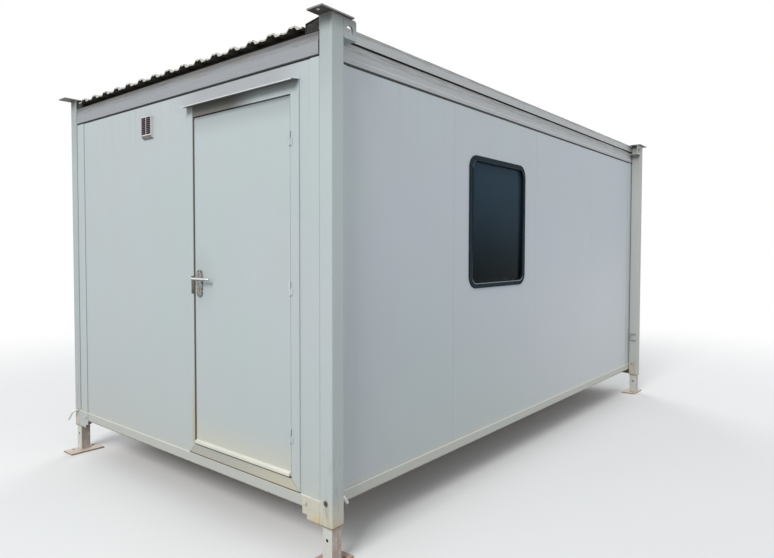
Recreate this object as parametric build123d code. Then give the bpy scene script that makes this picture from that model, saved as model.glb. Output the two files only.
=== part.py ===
from build123d import *
from math import hypot
import os

# Portable site cabin on jack legs. Millimetres, +Z up, origin on the ground
# at the middle of the plan. The door end faces -Y, and +X is to its right.

# Overall
cabin_width = 2872
cabin_length = 4876
post_foot_height = 200

# Corner posts
post_size = 89
post_wall = 6
post_corner_radius = 9

# Floor, walls and roof, from the post foot up
floor_rail_lift = 62
floor_rail_height = 62
floor_step = 60
wall_over_door = 89
wall_thickness = 60
ceiling_thickness = 12
roof_rail_height = 103
fascia_height = 112
edge_cap_gap = 12
edge_cap_height = 65
edge_cap_below_post = 2
sheet_below_cap = 35

# How far each face stands back from the outside of the frame
end_rail_setback = 4
end_wall_setback = 10
side_wall_setback = 6

# Folded steel sections
rail_depth = 50
rail_gauge = 4
cap_width = 100
cap_inner_fall = 15
cap_gauge = 3
cap_foot_setback = 17
hem_height = 24
hem_step = 3
fascia_fold_height = 67
shadow_gap = 15
end_gap = 8

# Jack legs, base plates and pins
leg_size = 70
leg_wall = 5
leg_corner_radius = 6
leg_height = 590
leg_hole_spacing = 190
leg_hole_count = 2
pin_radius = 9
pin_clearance = 0.3
pin_lift = 121
pin_stub = 22
pin_tip_setback = 3
pin_bend_run = 14
base_plate_width = 140
base_plate_length = 250
base_plate_thickness = 10
base_plate_shift_in = 26
base_plate_shift_out = 11
anchor_hole_radius = 11
anchor_hole_offset = 75
anchor_hole_shift_out = 15

# Stacking plates and lifting eyes on top of the posts
stack_plate_width = 106
stack_plate_length = 226
stack_plate_shift_x = 8
stack_plate_shift_y = 12
stack_plate_thickness = 8
stack_hole_radius = 11
stack_hole_offset = 100
eye_length = 88
eye_height = 95
eye_thickness = 10
eye_hole_radius = 25
eye_hole_reach = 41
eye_hole_drop = 59
eye_corner_radius = 12
eye_shelf_thickness = 6

# Gussets, corner strips and staples
gusset_length = 128
gusset_height = 123
gusset_lift = 3
gusset_step_length = 35
gusset_step_height = 27
gusset_gauge = 4
gusset_flange = 34
strip_gauge = 4
strip_narrow = 69
strip_wide = 107
strip_side = 112
staple_lift = 427
staple_width = 48
staple_tall = 70
staple_standoff = 16
staple_rod_radius = 6

# Floor and roof carcass
bearer_width = 50
bearer_gauge = 3
bearer_count = 7
joist_width = 50
joist_count = 5
joist_clearance = 3

# Roof sheet
sheet_gauge = 1.5
sheet_overhang = 20
rib_pitch = 167
rib_base = 80
rib_crest = 46
rib_height = 18
crest_groove_width = 14
crest_groove_depth = 5
swage_width = 26
swage_height = 4

# Door in the end wall
door_to_post = 218
door_width = 872
door_height = 1998
door_thickness = 45
door_face_setback = 4
door_gap_latch = 14
door_gap_hinge = 6
door_gap_top = 8
door_gap_bottom = 6
frame_face = 63
frame_setback = 2
stop_width = 20
stop_clearance = 5

# Door furniture
weather_bar_depth = 15
weather_bar_height = 22
weather_bar_fall = 9
weather_bar_lift = 7
weather_bar_inset = 2
hinge_knuckle_radius = 5.5
hinge_knuckle_height = 36
hinge_pin_radius = 3
hinge_pin_clearance = 0.1
hinge_flag_width = 18
hinge_flag_gauge = 4
hinge_washer = 1
hinge_stand_off = 0.5
hinge_inset = 220
hinge_count = 3
lock_plate_width = 56
lock_plate_height = 164
lock_plate_gauge = 8
lock_plate_inset = 22
handle_height = 1022
handle_plate_drop = 54
handle_neck_radius = 9
handle_neck_length = 28
handle_bar_radius = 8
handle_bar_rounding = 3
handle_tail = 36
handle_reach = 139
handle_running_gap = 0.3
keyhole_radius = 8.5
keyhole_stem_width = 10
keyhole_stem_length = 24.5
keyhole_drop = 64

# Drip canopy over the door
canopy_reach = 60
canopy_fall = 8
canopy_lip = 6
canopy_upstand = 14
canopy_gauge = 2
canopy_clearance = 2

# Vent cowl between the door and the far post
vent_to_door = 402
vent_below_wall_top = 77
vent_width = 121
vent_height = 126
vent_depth = 22
vent_sill_drop = 18
vent_sill_depth = 11
vent_side_margin = 4
vent_end_margin = 7
vent_mullion = 6
vent_rows = 9
vent_slot_height = 8
vent_slot_depth = 14
vent_slot_rise = 4

# Windows in the long sides
window_panel_start = -1213
window_panel_width = 1200
window_inset = 186
window_sill = 1004
window_width = 813
window_height = 917
window_radius = 90
gasket_width = 38
gasket_lap = 15
gasket_lip = 8
gasket_sleeve = 12
gasket_depth = 36
glass_thickness = 6
glass_edge = 6
glass_setback = 12

# Places that follow from the plan
half_width = cabin_width / 2
half_length = cabin_length / 2
post_inner_x = half_width - post_size
post_inner_y = half_length - post_size
post_x = half_width - post_size / 2
post_y = half_length - post_size / 2
side_face_x = post_inner_x
side_wall_x = side_face_x - side_wall_setback
end_wall_y = half_length - end_wall_setback
end_rail_y = half_length - end_rail_setback
room_half_width = side_wall_x - wall_thickness
room_half_length = end_wall_y - wall_thickness
door_face_y = half_length - door_face_setback
frame_face_y = half_length - frame_setback
door_right = side_face_x - door_to_post
door_left = door_right - door_width
opening_left = door_left - door_gap_latch
opening_right = door_right + door_gap_hinge
frame_left = opening_left - frame_face
frame_right = opening_right + frame_face

# Heights that follow from each other, floor to roof
floor_rail_bottom = post_foot_height + floor_rail_lift
wall_bottom = floor_rail_bottom + floor_rail_height
floor_top = wall_bottom + floor_step
frame_bottom = wall_bottom
opening_bottom = frame_bottom + frame_face
door_bottom = opening_bottom + door_gap_bottom
door_top = door_bottom + door_height
opening_top = door_top + door_gap_top
frame_top = opening_top + frame_face
wall_top = frame_top + wall_over_door
roof_rail_bottom = wall_top + ceiling_thickness
roof_rail_top = roof_rail_bottom + roof_rail_height
edge_cap_bottom = roof_rail_top + edge_cap_gap
edge_cap_top = edge_cap_bottom + edge_cap_height
sheet_seat = edge_cap_top - sheet_below_cap
post_top = edge_cap_top + edge_cap_below_post
pin_height = post_foot_height + pin_lift
vent_left = frame_left - vent_to_door - vent_width
vent_bottom = wall_top - vent_below_wall_top - vent_height
window_panel_end = window_panel_start + window_panel_width
window_left = window_panel_start + window_inset
window_bottom = wall_bottom + window_sill

os.makedirs("parts", exist_ok=True)


def save(shape, node):
    export_step(shape, f"parts/{node}.step")


def block(x0, x1, y0, y1, z0, z1):
    centre = Pos((x0 + x1) / 2, (y0 + y1) / 2, (z0 + z1) / 2)
    return centre * Box(abs(x1 - x0), abs(y1 - y0), abs(z1 - z0))


def rod(start, end, radius):
    line = Line(start, end)
    return extrude(Plane(origin=start, z_dir=line % 0) * Circle(radius), line.length)


def left_normal(a, b):
    length = hypot(b[0] - a[0], b[1] - a[1])
    return (a[1] - b[1]) / length, (b[0] - a[0]) / length


def ribbon(points, gauge):
    """A folded strip: the outline of a line of points and its offset to the left."""
    other_side = []
    for i, (u, v) in enumerate(points):
        before = left_normal(points[max(i - 1, 0)], points[max(i, 1)])
        after_start = min(i, len(points) - 2)
        after = left_normal(points[after_start], points[after_start + 1])
        scale = gauge / (1 + before[0] * after[0] + before[1] * after[1])
        other_side.append((u + scale * (before[0] + after[0]), v + scale * (before[1] + after[1])))
    return make_face(Polyline(*points, *reversed(other_side), close=True))


def along_y(face, y0, y1):
    """Extrudes a face drawn as (x, z) from y0 to y1."""
    return extrude(Plane(origin=(0, y0, 0), x_dir=(1, 0, 0), z_dir=(0, -1, 0)) * face, y0 - y1)


def along_x(face, x0, x1):
    """Extrudes a face drawn as (y, z) from x0 to x1."""
    return extrude(Plane(origin=(x0, 0, 0), x_dir=(0, 1, 0), z_dir=(1, 0, 0)) * face, x1 - x0)


def mirrored(shape, side_x, side_y):
    """Moves a shape made for the +X, +Y corner to the corner with the given signs."""
    if side_x < 0:
        shape = shape.mirror(Plane.YZ)
    if side_y < 0:
        shape = shape.mirror(Plane.XZ)
    return shape


corners = {
    "front_right": (1, -1),
    "front_left": (-1, -1),
    "back_right": (1, 1),
    "back_left": (-1, 1),
}


def pin_hole(height):
    """The bore for a leg pin, through both walls of post and leg."""
    start = (post_x, half_length, height)
    return rod(start, (post_x, post_inner_y, height), pin_radius + pin_clearance)


def corner_post():
    outline = RectangleRounded(post_size, post_size, post_corner_radius)
    hollow = Rectangle(post_size - 2 * post_wall, post_size - 2 * post_wall)
    tube = Pos(post_x, post_y, post_foot_height) * extrude(outline - hollow, post_top - post_foot_height)
    return tube - pin_hole(pin_height)


def stacking_plate():
    """A flat plate on the post, shifted outwards, with a bolt hole in its overhang."""
    outline = Rectangle(stack_plate_width, stack_plate_length)
    outline = Pos(stack_plate_shift_x, stack_plate_shift_y) * outline
    outline -= Pos(stack_plate_shift_x, stack_hole_offset) * Circle(stack_hole_radius)
    return Pos(post_x, post_y, post_top) * extrude(outline, stack_plate_thickness)


def lifting_eye():
    """An eye plate flush with the outside of the post, on a shelf that reaches the roof rail."""
    bottom = post_top - eye_height
    hole_y = post_inner_y - eye_hole_reach
    hole_z = post_top - eye_hole_drop
    outline = make_face(
        Polyline(
            (post_inner_y, bottom),
            (post_inner_y, post_top),
            (post_inner_y - eye_length, post_top),
            (post_inner_y - eye_length, bottom),
            close=True,
        )
    )
    outline -= Pos(hole_y, hole_z) * Circle(eye_hole_radius)
    top_corner = outline.vertices().sort_by(Axis.X)[0:2].sort_by(Axis.Y)[-1]
    outline = fillet(top_corner, eye_corner_radius)
    plate = along_x(outline, half_width - eye_thickness, half_width)
    shelf = block(
        side_face_x - hem_step,
        half_width,
        post_inner_y - eye_length,
        post_inner_y,
        bottom - eye_shelf_thickness,
        bottom,
    )
    return plate + shelf


def jack_leg():
    outline = RectangleRounded(leg_size, leg_size, leg_corner_radius)
    hollow = Rectangle(leg_size - 2 * leg_wall, leg_size - 2 * leg_wall)
    tube = Pos(post_x, post_y, base_plate_thickness) * extrude(outline - hollow, leg_height)
    plate = Rectangle(base_plate_width, base_plate_length)
    plate = Pos(-base_plate_shift_in, base_plate_shift_out) * plate
    for offset in (-anchor_hole_offset, anchor_hole_offset):
        plate -= Pos(anchor_hole_shift_out, offset) * Circle(anchor_hole_radius)
    leg = tube + Pos(post_x, post_y, 0) * extrude(plate, base_plate_thickness)
    for index in range(leg_hole_count):
        leg -= pin_hole(pin_height - index * leg_hole_spacing)
    return leg


def leg_pin(handle_side, handle_run):
    """A bar through post and leg, bent in two turns to a handle that runs by x, y and z.
    At the back right corner, handle_side is 1 with the handle outside and -1 with it inside."""
    handle_face, tip_face = half_length, post_inner_y
    if handle_side < 0:
        handle_face, tip_face = tip_face, handle_face
    first = Vector(post_x, handle_face + handle_side * pin_stub, pin_height)
    run = Vector(*handle_run)
    second = first + Vector(0, handle_side * pin_bend_run, 0) + run.normalized() * pin_bend_run
    tip = (post_x, tip_face + handle_side * pin_tip_setback, pin_height)
    path = Polyline(tip, first, second, second + run)
    section = Plane(origin=path @ 0, z_dir=path % 0) * Circle(pin_radius)
    return sweep(section, path=path, transition=Transition.RIGHT)


def floor_side_rail():
    web = side_face_x
    back = side_face_x - rail_depth
    top = floor_rail_bottom + floor_rail_height
    fold = [(back, floor_rail_bottom), (web, floor_rail_bottom), (web, top), (back, top)]
    reach = end_rail_y - rail_depth
    return along_y(ribbon(fold, rail_gauge), -reach, reach)


def floor_end_rail():
    web = end_rail_y
    back = end_rail_y - rail_depth
    top = floor_rail_bottom + floor_rail_height
    fold = [(back, floor_rail_bottom), (web, floor_rail_bottom), (web, top), (back, top)]
    return along_x(ribbon(fold, rail_gauge), -side_face_x, side_face_x)


def floor_bearers():
    """Square tubes from rail to rail, under the deck."""
    reach = side_face_x - rail_gauge
    depth = floor_rail_height - 2 * rail_gauge
    tube = Rectangle(bearer_width, depth)
    tube -= Rectangle(bearer_width - 2 * bearer_gauge, depth - 2 * bearer_gauge)
    first = end_rail_y - rail_depth - bearer_width / 2
    pitch = 2 * first / (bearer_count - 1)
    middle = floor_rail_bottom + floor_rail_height / 2
    places = [Pos(-first + index * pitch, middle) for index in range(bearer_count)]
    return Compound([along_x(place * tube, -reach, reach) for place in places])


def floor_deck():
    return block(
        -room_half_width,
        room_half_width,
        -room_half_length,
        room_half_length,
        wall_bottom - rail_gauge,
        floor_top,
    )


def gusset():
    """A plate over the end rail beside the post foot, stepped below and turned in underneath."""
    low = post_foot_height + gusset_lift
    inner = side_face_x - gusset_length
    step = inner + gusset_step_length
    outline = make_face(
        Polyline(
            (side_face_x, low),
            (step, low),
            (step, low + gusset_step_height),
            (inner, low + gusset_step_height),
            (inner, low + gusset_height),
            (side_face_x, low + gusset_height),
            close=True,
        )
    )
    plate = along_y(outline, end_rail_y, half_length)
    flange = block(step, side_face_x, half_length - gusset_flange, half_length, low, low + gusset_gauge)
    return plate + flange


def corner_strips():
    low = post_foot_height + gusset_lift + gusset_height
    end_outer = end_wall_y + strip_gauge
    side_outer = side_wall_x + strip_gauge
    narrow_start = side_face_x - strip_narrow
    wide_end = side_face_x - end_gap
    right_end = block(narrow_start, side_face_x, end_wall_y, end_outer, low, wall_top)
    left_end = block(wide_end - strip_wide, wide_end, end_wall_y, end_outer, low, wall_top)
    side = block(side_wall_x, side_outer, post_inner_y - strip_side, post_inner_y, wall_bottom, wall_top)
    strips = [mirrored(side, *signs) for signs in corners.values()]
    for side_y in (-1, 1):
        strips += [mirrored(right_end, 1, side_y), mirrored(left_end, -1, side_y)]
    return Compound(strips)


def post_staple():
    """A bent bar on the face of the post that looks along the long side."""
    outer_y = post_inner_y - staple_standoff
    right = post_x + staple_width / 2
    left = post_x - staple_width / 2
    high = post_foot_height + staple_lift + staple_tall / 2
    low = high - staple_tall
    path = Polyline(
        (right, post_inner_y, high),
        (right, outer_y, high),
        (left, outer_y, high),
        (left, outer_y, low),
        (right, outer_y, low),
        (right, post_inner_y, low),
    )
    section = Plane(origin=path @ 0, z_dir=path % 0) * RegularPolygon(staple_rod_radius, 8)
    return sweep(section, path=path, transition=Transition.RIGHT)


def end_wall_block(x0, x1, z0, z1):
    return block(x0, x1, -end_wall_y, -room_half_length, z0, z1)


def back_wall():
    return block(-side_face_x + end_gap, side_face_x, room_half_length, end_wall_y, wall_bottom, wall_top)


def side_panel(y0, y1):
    return block(room_half_width, side_wall_x, y0, y1, wall_bottom, wall_top)


def window_outline(inset):
    """The window's rounded rectangle as (y, z), drawn in by inset from the gasket's outer edge."""
    width = window_width - 2 * inset
    height = window_height - 2 * inset
    centre = Pos(window_left + window_width / 2, window_bottom + window_height / 2)
    return centre * RectangleRounded(width, height, window_radius - inset)


def window_panel():
    hole = along_x(window_outline(gasket_lap), room_half_width, side_wall_x)
    return side_panel(window_panel_start, window_panel_end) - hole


def window_gasket():
    """A rubber lip over the panel and the glass, with a sleeve in the hole that holds the glass."""
    lip = window_outline(0) - window_outline(gasket_width)
    sleeve = window_outline(gasket_lap) - window_outline(gasket_lap + gasket_sleeve)
    gasket = along_x(lip, side_wall_x, side_wall_x + gasket_lip)
    gasket += along_x(sleeve, side_wall_x - gasket_depth, side_wall_x)
    return gasket - window_glass()


def window_glass():
    outer = side_wall_x - glass_setback
    return along_x(window_outline(gasket_lap + glass_edge), outer - glass_thickness, outer)


def ceiling_panel():
    reach_x = side_face_x - shadow_gap
    reach_y = end_rail_y - shadow_gap
    return block(-reach_x, reach_x, -reach_y, reach_y, wall_top, roof_rail_bottom)


def roof_side_rail():
    """A folded channel whose lower edge is hemmed proud of its web."""
    web = side_face_x - hem_step
    back = side_face_x - rail_depth
    hem_top = roof_rail_bottom + hem_height
    section = ribbon(
        [
            (back, roof_rail_bottom),
            (side_face_x, roof_rail_bottom),
            (side_face_x, hem_top),
            (web, hem_top + hem_step),
            (web, roof_rail_top),
            (back, roof_rail_top),
        ],
        cap_gauge,
    )
    reach = end_rail_y - rail_depth
    return along_y(section, -reach, reach)


def roof_edge_cap():
    """A hollow edge trim that falls towards the sheet and stands on a set-back foot."""
    inner = side_face_x - cap_width
    outline = make_face(
        Polyline(
            (inner, edge_cap_bottom),
            (side_face_x, edge_cap_bottom),
            (side_face_x, edge_cap_top),
            (inner, edge_cap_top - cap_inner_fall),
            close=True,
        )
    )
    hollow = offset(outline, amount=-cap_gauge, kind=Kind.INTERSECTION)
    cap = along_y(outline - hollow, -end_rail_y, end_rail_y)
    foot_x = side_face_x - cap_foot_setback
    reach = end_rail_y - rail_depth
    foot = block(foot_x - rail_gauge, foot_x, -reach, reach, roof_rail_top, edge_cap_bottom)
    return cap + foot


def end_fascia():
    """A folded channel under the end of the roof sheet, with a hem half way up."""
    back = end_rail_y - rail_depth
    top = roof_rail_bottom + fascia_height
    fold = roof_rail_bottom + fascia_fold_height
    section = ribbon(
        [
            (back, roof_rail_bottom),
            (end_rail_y, roof_rail_bottom),
            (end_rail_y, fold),
            (end_rail_y - hem_step, fold + hem_step),
            (end_rail_y - hem_step, top),
            (back, top),
        ],
        cap_gauge,
    )
    reach = side_face_x - end_gap
    return along_x(section, -reach, reach)


def roof_joists():
    """Joists that hang between the side rails and are notched under the edge caps."""
    reach = side_face_x - rail_depth
    top_reach = side_face_x - cap_width - joist_clearance
    shoulder = roof_rail_top - cap_gauge
    outline = make_face(
        Polyline(
            (-reach, roof_rail_bottom),
            (reach, roof_rail_bottom),
            (reach, shoulder),
            (top_reach, shoulder),
            (top_reach, sheet_seat),
            (-top_reach, sheet_seat),
            (-top_reach, shoulder),
            (-reach, shoulder),
            close=True,
        )
    )
    first = end_rail_y - rail_depth - joist_width / 2
    pitch = 2 * first / (joist_count - 1)
    starts = [-first - joist_width / 2 + i * pitch for i in range(joist_count)]
    return Compound([along_y(outline, start, start + joist_width) for start in starts])


def rib_points(centre):
    """One rib of the roof sheet as (x, z), with a groove along its crest."""
    crest = sheet_seat + rib_height
    groove = crest - crest_groove_depth
    return [
        (centre - rib_base / 2, sheet_seat),
        (centre - rib_crest / 2, crest),
        (centre - crest_groove_width / 2, crest),
        (centre, groove),
        (centre + crest_groove_width / 2, crest),
        (centre + rib_crest / 2, crest),
        (centre + rib_base / 2, sheet_seat),
    ]


def swage_points(centre):
    """The low stiffening fold between two ribs, as (x, z)."""
    return [
        (centre - swage_width / 2, sheet_seat),
        (centre - swage_width / 4, sheet_seat + swage_height),
        (centre + swage_width / 4, sheet_seat + swage_height),
        (centre + swage_width / 2, sheet_seat),
    ]


def roof_sheet():
    edge = side_face_x - cap_width
    points = [(-edge, sheet_seat)]
    rib_count = int((2 * edge - rib_base) / rib_pitch) + 1
    for index in range(rib_count):
        centre = (index - (rib_count - 1) / 2) * rib_pitch
        points += rib_points(centre)
        if index < rib_count - 1:
            points += swage_points(centre + rib_pitch / 2)
    points.append((edge, sheet_seat))
    reach = end_rail_y + sheet_overhang
    return along_y(ribbon(points, sheet_gauge), -reach, reach)


def door_frame():
    """A frame round the doorway with a stop behind the leaf."""
    stop_y = door_face_y - door_thickness - stop_clearance
    outer = block(frame_left, frame_right, -frame_face_y, -room_half_length, frame_bottom, frame_top)
    leaf_space = block(opening_left, opening_right, -frame_face_y, -stop_y, opening_bottom, opening_top)
    way_through = block(
        opening_left + stop_width,
        opening_right - stop_width,
        -stop_y,
        -room_half_length,
        opening_bottom + stop_width,
        opening_top - stop_width,
    )
    return outer - leaf_space - way_through


def door_leaf():
    back = -door_face_y + door_thickness
    return block(door_left, door_right, -door_face_y, back, door_bottom, door_top)


def door_weather_bar():
    """A drip bar along the foot of the leaf, with a top that falls outwards."""
    back = -door_face_y
    front = back - weather_bar_depth
    low = door_bottom + weather_bar_lift
    top = low + weather_bar_height
    outline = make_face(
        Polyline(
            (back, low),
            (front, low),
            (front, top - weather_bar_fall),
            (back, top),
            close=True,
        )
    )
    return along_x(outline, door_left + weather_bar_inset, door_right - weather_bar_inset)


def hinge_heights():
    low = door_bottom + hinge_inset
    pitch = (door_height - 2 * hinge_inset) / (hinge_count - 1)
    return [low + index * pitch for index in range(hinge_count)]


hinge_x = door_right + door_gap_hinge / 2
hinge_y = -frame_face_y - hinge_stand_off - hinge_knuckle_radius


def hinge_frame_halves():
    """Lower knuckles, with a pin standing up, on flags that lap the frame."""
    halves = []
    for height in hinge_heights():
        foot = (hinge_x, hinge_y, height - hinge_knuckle_height)
        middle = (hinge_x, hinge_y, height)
        head = (hinge_x, hinge_y, height + hinge_knuckle_height)
        knuckle = rod(foot, middle, hinge_knuckle_radius)
        pin = rod(middle, head, hinge_pin_radius)
        flag = block(
            hinge_x,
            hinge_x + hinge_flag_width,
            -frame_face_y - hinge_flag_gauge,
            -frame_face_y,
            height - hinge_knuckle_height,
            height,
        )
        halves.append(knuckle + pin + flag)
    return Compound(halves)


def hinge_leaf_halves():
    """Upper knuckles, bored for the pins, on flags that lap the leaf."""
    halves = []
    for height in hinge_heights():
        low = height + hinge_washer
        high = low + hinge_knuckle_height
        foot, head = (hinge_x, hinge_y, low), (hinge_x, hinge_y, high)
        knuckle = rod(foot, head, hinge_knuckle_radius)
        bore = rod(foot, head, hinge_pin_radius + hinge_pin_clearance)
        flag = block(
            hinge_x - hinge_flag_width,
            hinge_x,
            -door_face_y - hinge_flag_gauge,
            -door_face_y,
            low,
            high,
        )
        halves.append(knuckle + flag - bore)
    return Compound(halves)


lock_x = door_left + lock_plate_inset + lock_plate_width / 2
handle_z = door_bottom + handle_height
lock_face_y = -door_face_y - lock_plate_gauge


def keyhole():
    """The profile of a lock cylinder: a circle with a round-ended stem below it."""
    stem = SlotOverall(keyhole_stem_length, keyhole_stem_width, rotation=90)
    return Circle(keyhole_radius) + Pos(0, -keyhole_stem_length / 2) * stem


def lock_plate():
    """A round-ended backplate, bored for the handle's neck and for the lock cylinder."""
    middle = handle_z + handle_plate_drop - lock_plate_height / 2
    outline = Pos(lock_x, middle) * SlotOverall(lock_plate_height, lock_plate_width, rotation=90)
    outline -= Pos(lock_x, handle_z) * Circle(handle_neck_radius + handle_running_gap)
    outline -= Pos(lock_x, handle_z - keyhole_drop) * keyhole()
    return along_y(outline, lock_face_y, -door_face_y)


def door_handle():
    """A lever with a short tail, on a neck that turns in the backplate."""
    bar_y = lock_face_y - handle_neck_length
    root = (lock_x, -door_face_y - handle_running_gap, handle_z)
    neck = rod(root, (lock_x, bar_y, handle_z), handle_neck_radius)
    tail = (lock_x - handle_tail, bar_y, handle_z)
    tip = (lock_x + handle_reach, bar_y, handle_z)
    bar = rod(tail, tip, handle_bar_radius)
    bar = fillet(bar.edges().filter_by(GeomType.CIRCLE), handle_bar_rounding)
    return neck + bar


def door_canopy():
    """A folded drip over the door, with an upstand on the wall and a lip at its edge."""
    wall_y = -end_wall_y
    edge_y = wall_y - canopy_reach
    root_z = frame_top + canopy_clearance + canopy_gauge
    edge_z = root_z - canopy_fall
    section = ribbon(
        [
            (edge_y, edge_z - canopy_lip),
            (edge_y, edge_z),
            (wall_y - canopy_gauge, root_z),
            (wall_y - canopy_gauge, root_z + canopy_upstand),
        ],
        -canopy_gauge,
    )
    return along_x(section, frame_left, frame_right)


def vent_cowl():
    """A shallow box with a sloping sill and two columns of slots between sloping louvres."""
    wall = -end_wall_y
    front = wall - vent_depth
    back = front + vent_slot_depth
    outline = make_face(
        Polyline(
            (wall, vent_bottom + vent_height),
            (front, vent_bottom + vent_height),
            (front, vent_bottom),
            (front + vent_sill_depth, vent_bottom - vent_sill_drop),
            (wall, vent_bottom - vent_sill_drop),
            close=True,
        )
    )
    cowl = along_x(outline, vent_left, vent_left + vent_width)
    column = (vent_width - 2 * vent_side_margin - vent_mullion) / 2
    pitch = (vent_height - 2 * vent_end_margin) / vent_rows
    for row in range(vent_rows):
        low = vent_bottom + vent_end_margin + row * pitch + (pitch - vent_slot_height) / 2
        high = low + vent_slot_height
        slot = make_face(
            Polyline(
                (front, low),
                (back, low + vent_slot_rise),
                (back, high + vent_slot_rise),
                (front, high),
                close=True,
            )
        )
        for side in range(2):
            left = vent_left + vent_side_margin + side * (column + vent_mullion)
            cowl -= along_x(slot, left, left + column)
    return cowl


pin_handles = {
    "front_right": (-1, (-32, -60, -56)),
    "front_left": (1, (60, 5, -68)),
    "back_right": (1, (-42, 14, -72)),
    "back_left": (1, (-42, 14, -72)),
}

for corner, signs in corners.items():
    save(mirrored(corner_post(), *signs), f"post_{corner}")
    save(mirrored(jack_leg(), *signs), f"jack_leg_{corner}")
save(Compound([mirrored(stacking_plate(), *signs) for signs in corners.values()]), "stacking_plates")
save(Compound([mirrored(lifting_eye(), *signs) for signs in corners.values()]), "lifting_eyes")
save(Compound([mirrored(gusset(), *signs) for signs in corners.values()]), "gusset_plates")
save(Compound([mirrored(post_staple(), *signs) for signs in corners.values()]), "post_staples")
save(Compound([mirrored(leg_pin(*pin_handles[c]), *signs) for c, signs in corners.items()]), "leg_pins")
save(corner_strips(), "corner_strips")

save(floor_side_rail(), "floor_rail_right")
save(mirrored(floor_side_rail(), -1, 1), "floor_rail_left")
save(mirrored(floor_end_rail(), 1, -1), "floor_rail_front")
save(floor_end_rail(), "floor_rail_back")
save(floor_bearers(), "floor_bearers")
save(floor_deck(), "floor_deck")

save(end_wall_block(-side_face_x + end_gap, frame_left, wall_bottom, wall_top), "front_wall_left")
save(end_wall_block(frame_right, side_face_x, wall_bottom, wall_top), "front_wall_right")
save(end_wall_block(frame_left, frame_right, frame_top, wall_top), "front_wall_over_door")
save(back_wall(), "back_wall")
for side, sign in (("right", 1), ("left", -1)):
    save(mirrored(side_panel(-room_half_length, window_panel_start), sign, 1), f"{side}_wall_front")
    save(mirrored(window_panel(), sign, 1), f"{side}_wall_window")
    save(mirrored(side_panel(window_panel_end, room_half_length), sign, 1), f"{side}_wall_rear")
    save(mirrored(window_gasket(), sign, 1), f"window_gasket_{side}")
    save(mirrored(window_glass(), sign, 1), f"window_glass_{side}")
    save(mirrored(roof_side_rail(), sign, 1), f"roof_rail_{side}")
    save(mirrored(roof_edge_cap(), sign, 1), f"roof_edge_cap_{side}")

save(ceiling_panel(), "ceiling_panel")
save(mirrored(end_fascia(), 1, -1), "fascia_front")
save(end_fascia(), "fascia_back")
save(roof_joists(), "roof_joists")
save(roof_sheet(), "roof_sheet")

save(door_frame(), "door_frame")
save(door_leaf(), "door_leaf")
save(door_weather_bar(), "door_weather_bar")
save(hinge_frame_halves(), "door_hinge_pins")
save(hinge_leaf_halves(), "door_hinge_knuckles")
save(lock_plate(), "door_lock_plate")
save(door_handle(), "door_handle")
save(door_canopy(), "door_canopy")
save(vent_cowl(), "vent_cowl")
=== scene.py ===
# %% [markdown]
# # A portable site cabin
# The steel cabin comes in already built, as one object for each of its pieces. This
# lesson gives those pieces their paint, rust, rubber and glass, adds the small
# fastenings and welds that hold them together, and lights and frames the result.
# Everything is in metres. The cabin stands on the ground at z = 0, its door looks
# along -Y and +X is to the right of someone who faces the door.

# %% Load the cabin
import bpy
import bmesh
import math
import random
from mathutils import Matrix, Vector
from mathutils import noise as lumps


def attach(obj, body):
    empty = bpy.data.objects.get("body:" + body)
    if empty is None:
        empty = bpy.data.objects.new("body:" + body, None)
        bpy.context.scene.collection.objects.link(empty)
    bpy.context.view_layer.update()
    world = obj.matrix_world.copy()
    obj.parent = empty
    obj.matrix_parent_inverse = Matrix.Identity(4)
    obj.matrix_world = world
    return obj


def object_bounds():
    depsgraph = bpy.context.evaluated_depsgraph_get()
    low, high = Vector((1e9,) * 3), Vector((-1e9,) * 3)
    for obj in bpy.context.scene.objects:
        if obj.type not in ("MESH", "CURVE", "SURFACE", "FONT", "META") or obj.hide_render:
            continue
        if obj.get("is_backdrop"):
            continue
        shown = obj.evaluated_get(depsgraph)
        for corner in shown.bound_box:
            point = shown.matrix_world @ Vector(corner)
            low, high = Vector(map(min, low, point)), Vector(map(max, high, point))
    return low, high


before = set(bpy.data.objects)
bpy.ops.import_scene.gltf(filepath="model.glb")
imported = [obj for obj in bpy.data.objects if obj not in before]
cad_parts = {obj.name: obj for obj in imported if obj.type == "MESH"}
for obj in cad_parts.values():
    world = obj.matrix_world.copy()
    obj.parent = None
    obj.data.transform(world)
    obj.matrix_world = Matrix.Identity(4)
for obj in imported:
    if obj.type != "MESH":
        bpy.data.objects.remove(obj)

cad_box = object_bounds()


def show_box(title, box):
    low, high = ([round(value, 3) for value in corner] for corner in box)
    print(title, low, "to", high)


show_box("cabin from", cad_box)

# %% [markdown]
# ## Words for shaders
# A material is a graph of nodes, and most of an old paint's graph is arithmetic on
# masks. A small class wraps a socket so that this arithmetic reads as ordinary
# Python: `dirt * 0.5 + rust` adds the Math nodes, and `dirt | rust` is the larger of
# two masks.
#
# Age isn't random: dirt runs down from ledges, rust starts at cut edges and holes, and
# splashes dry near the ground. Each mask is a number from 0 to 1 worked out from
# object coordinates, so that it sits on the real place on the cabin.

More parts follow.
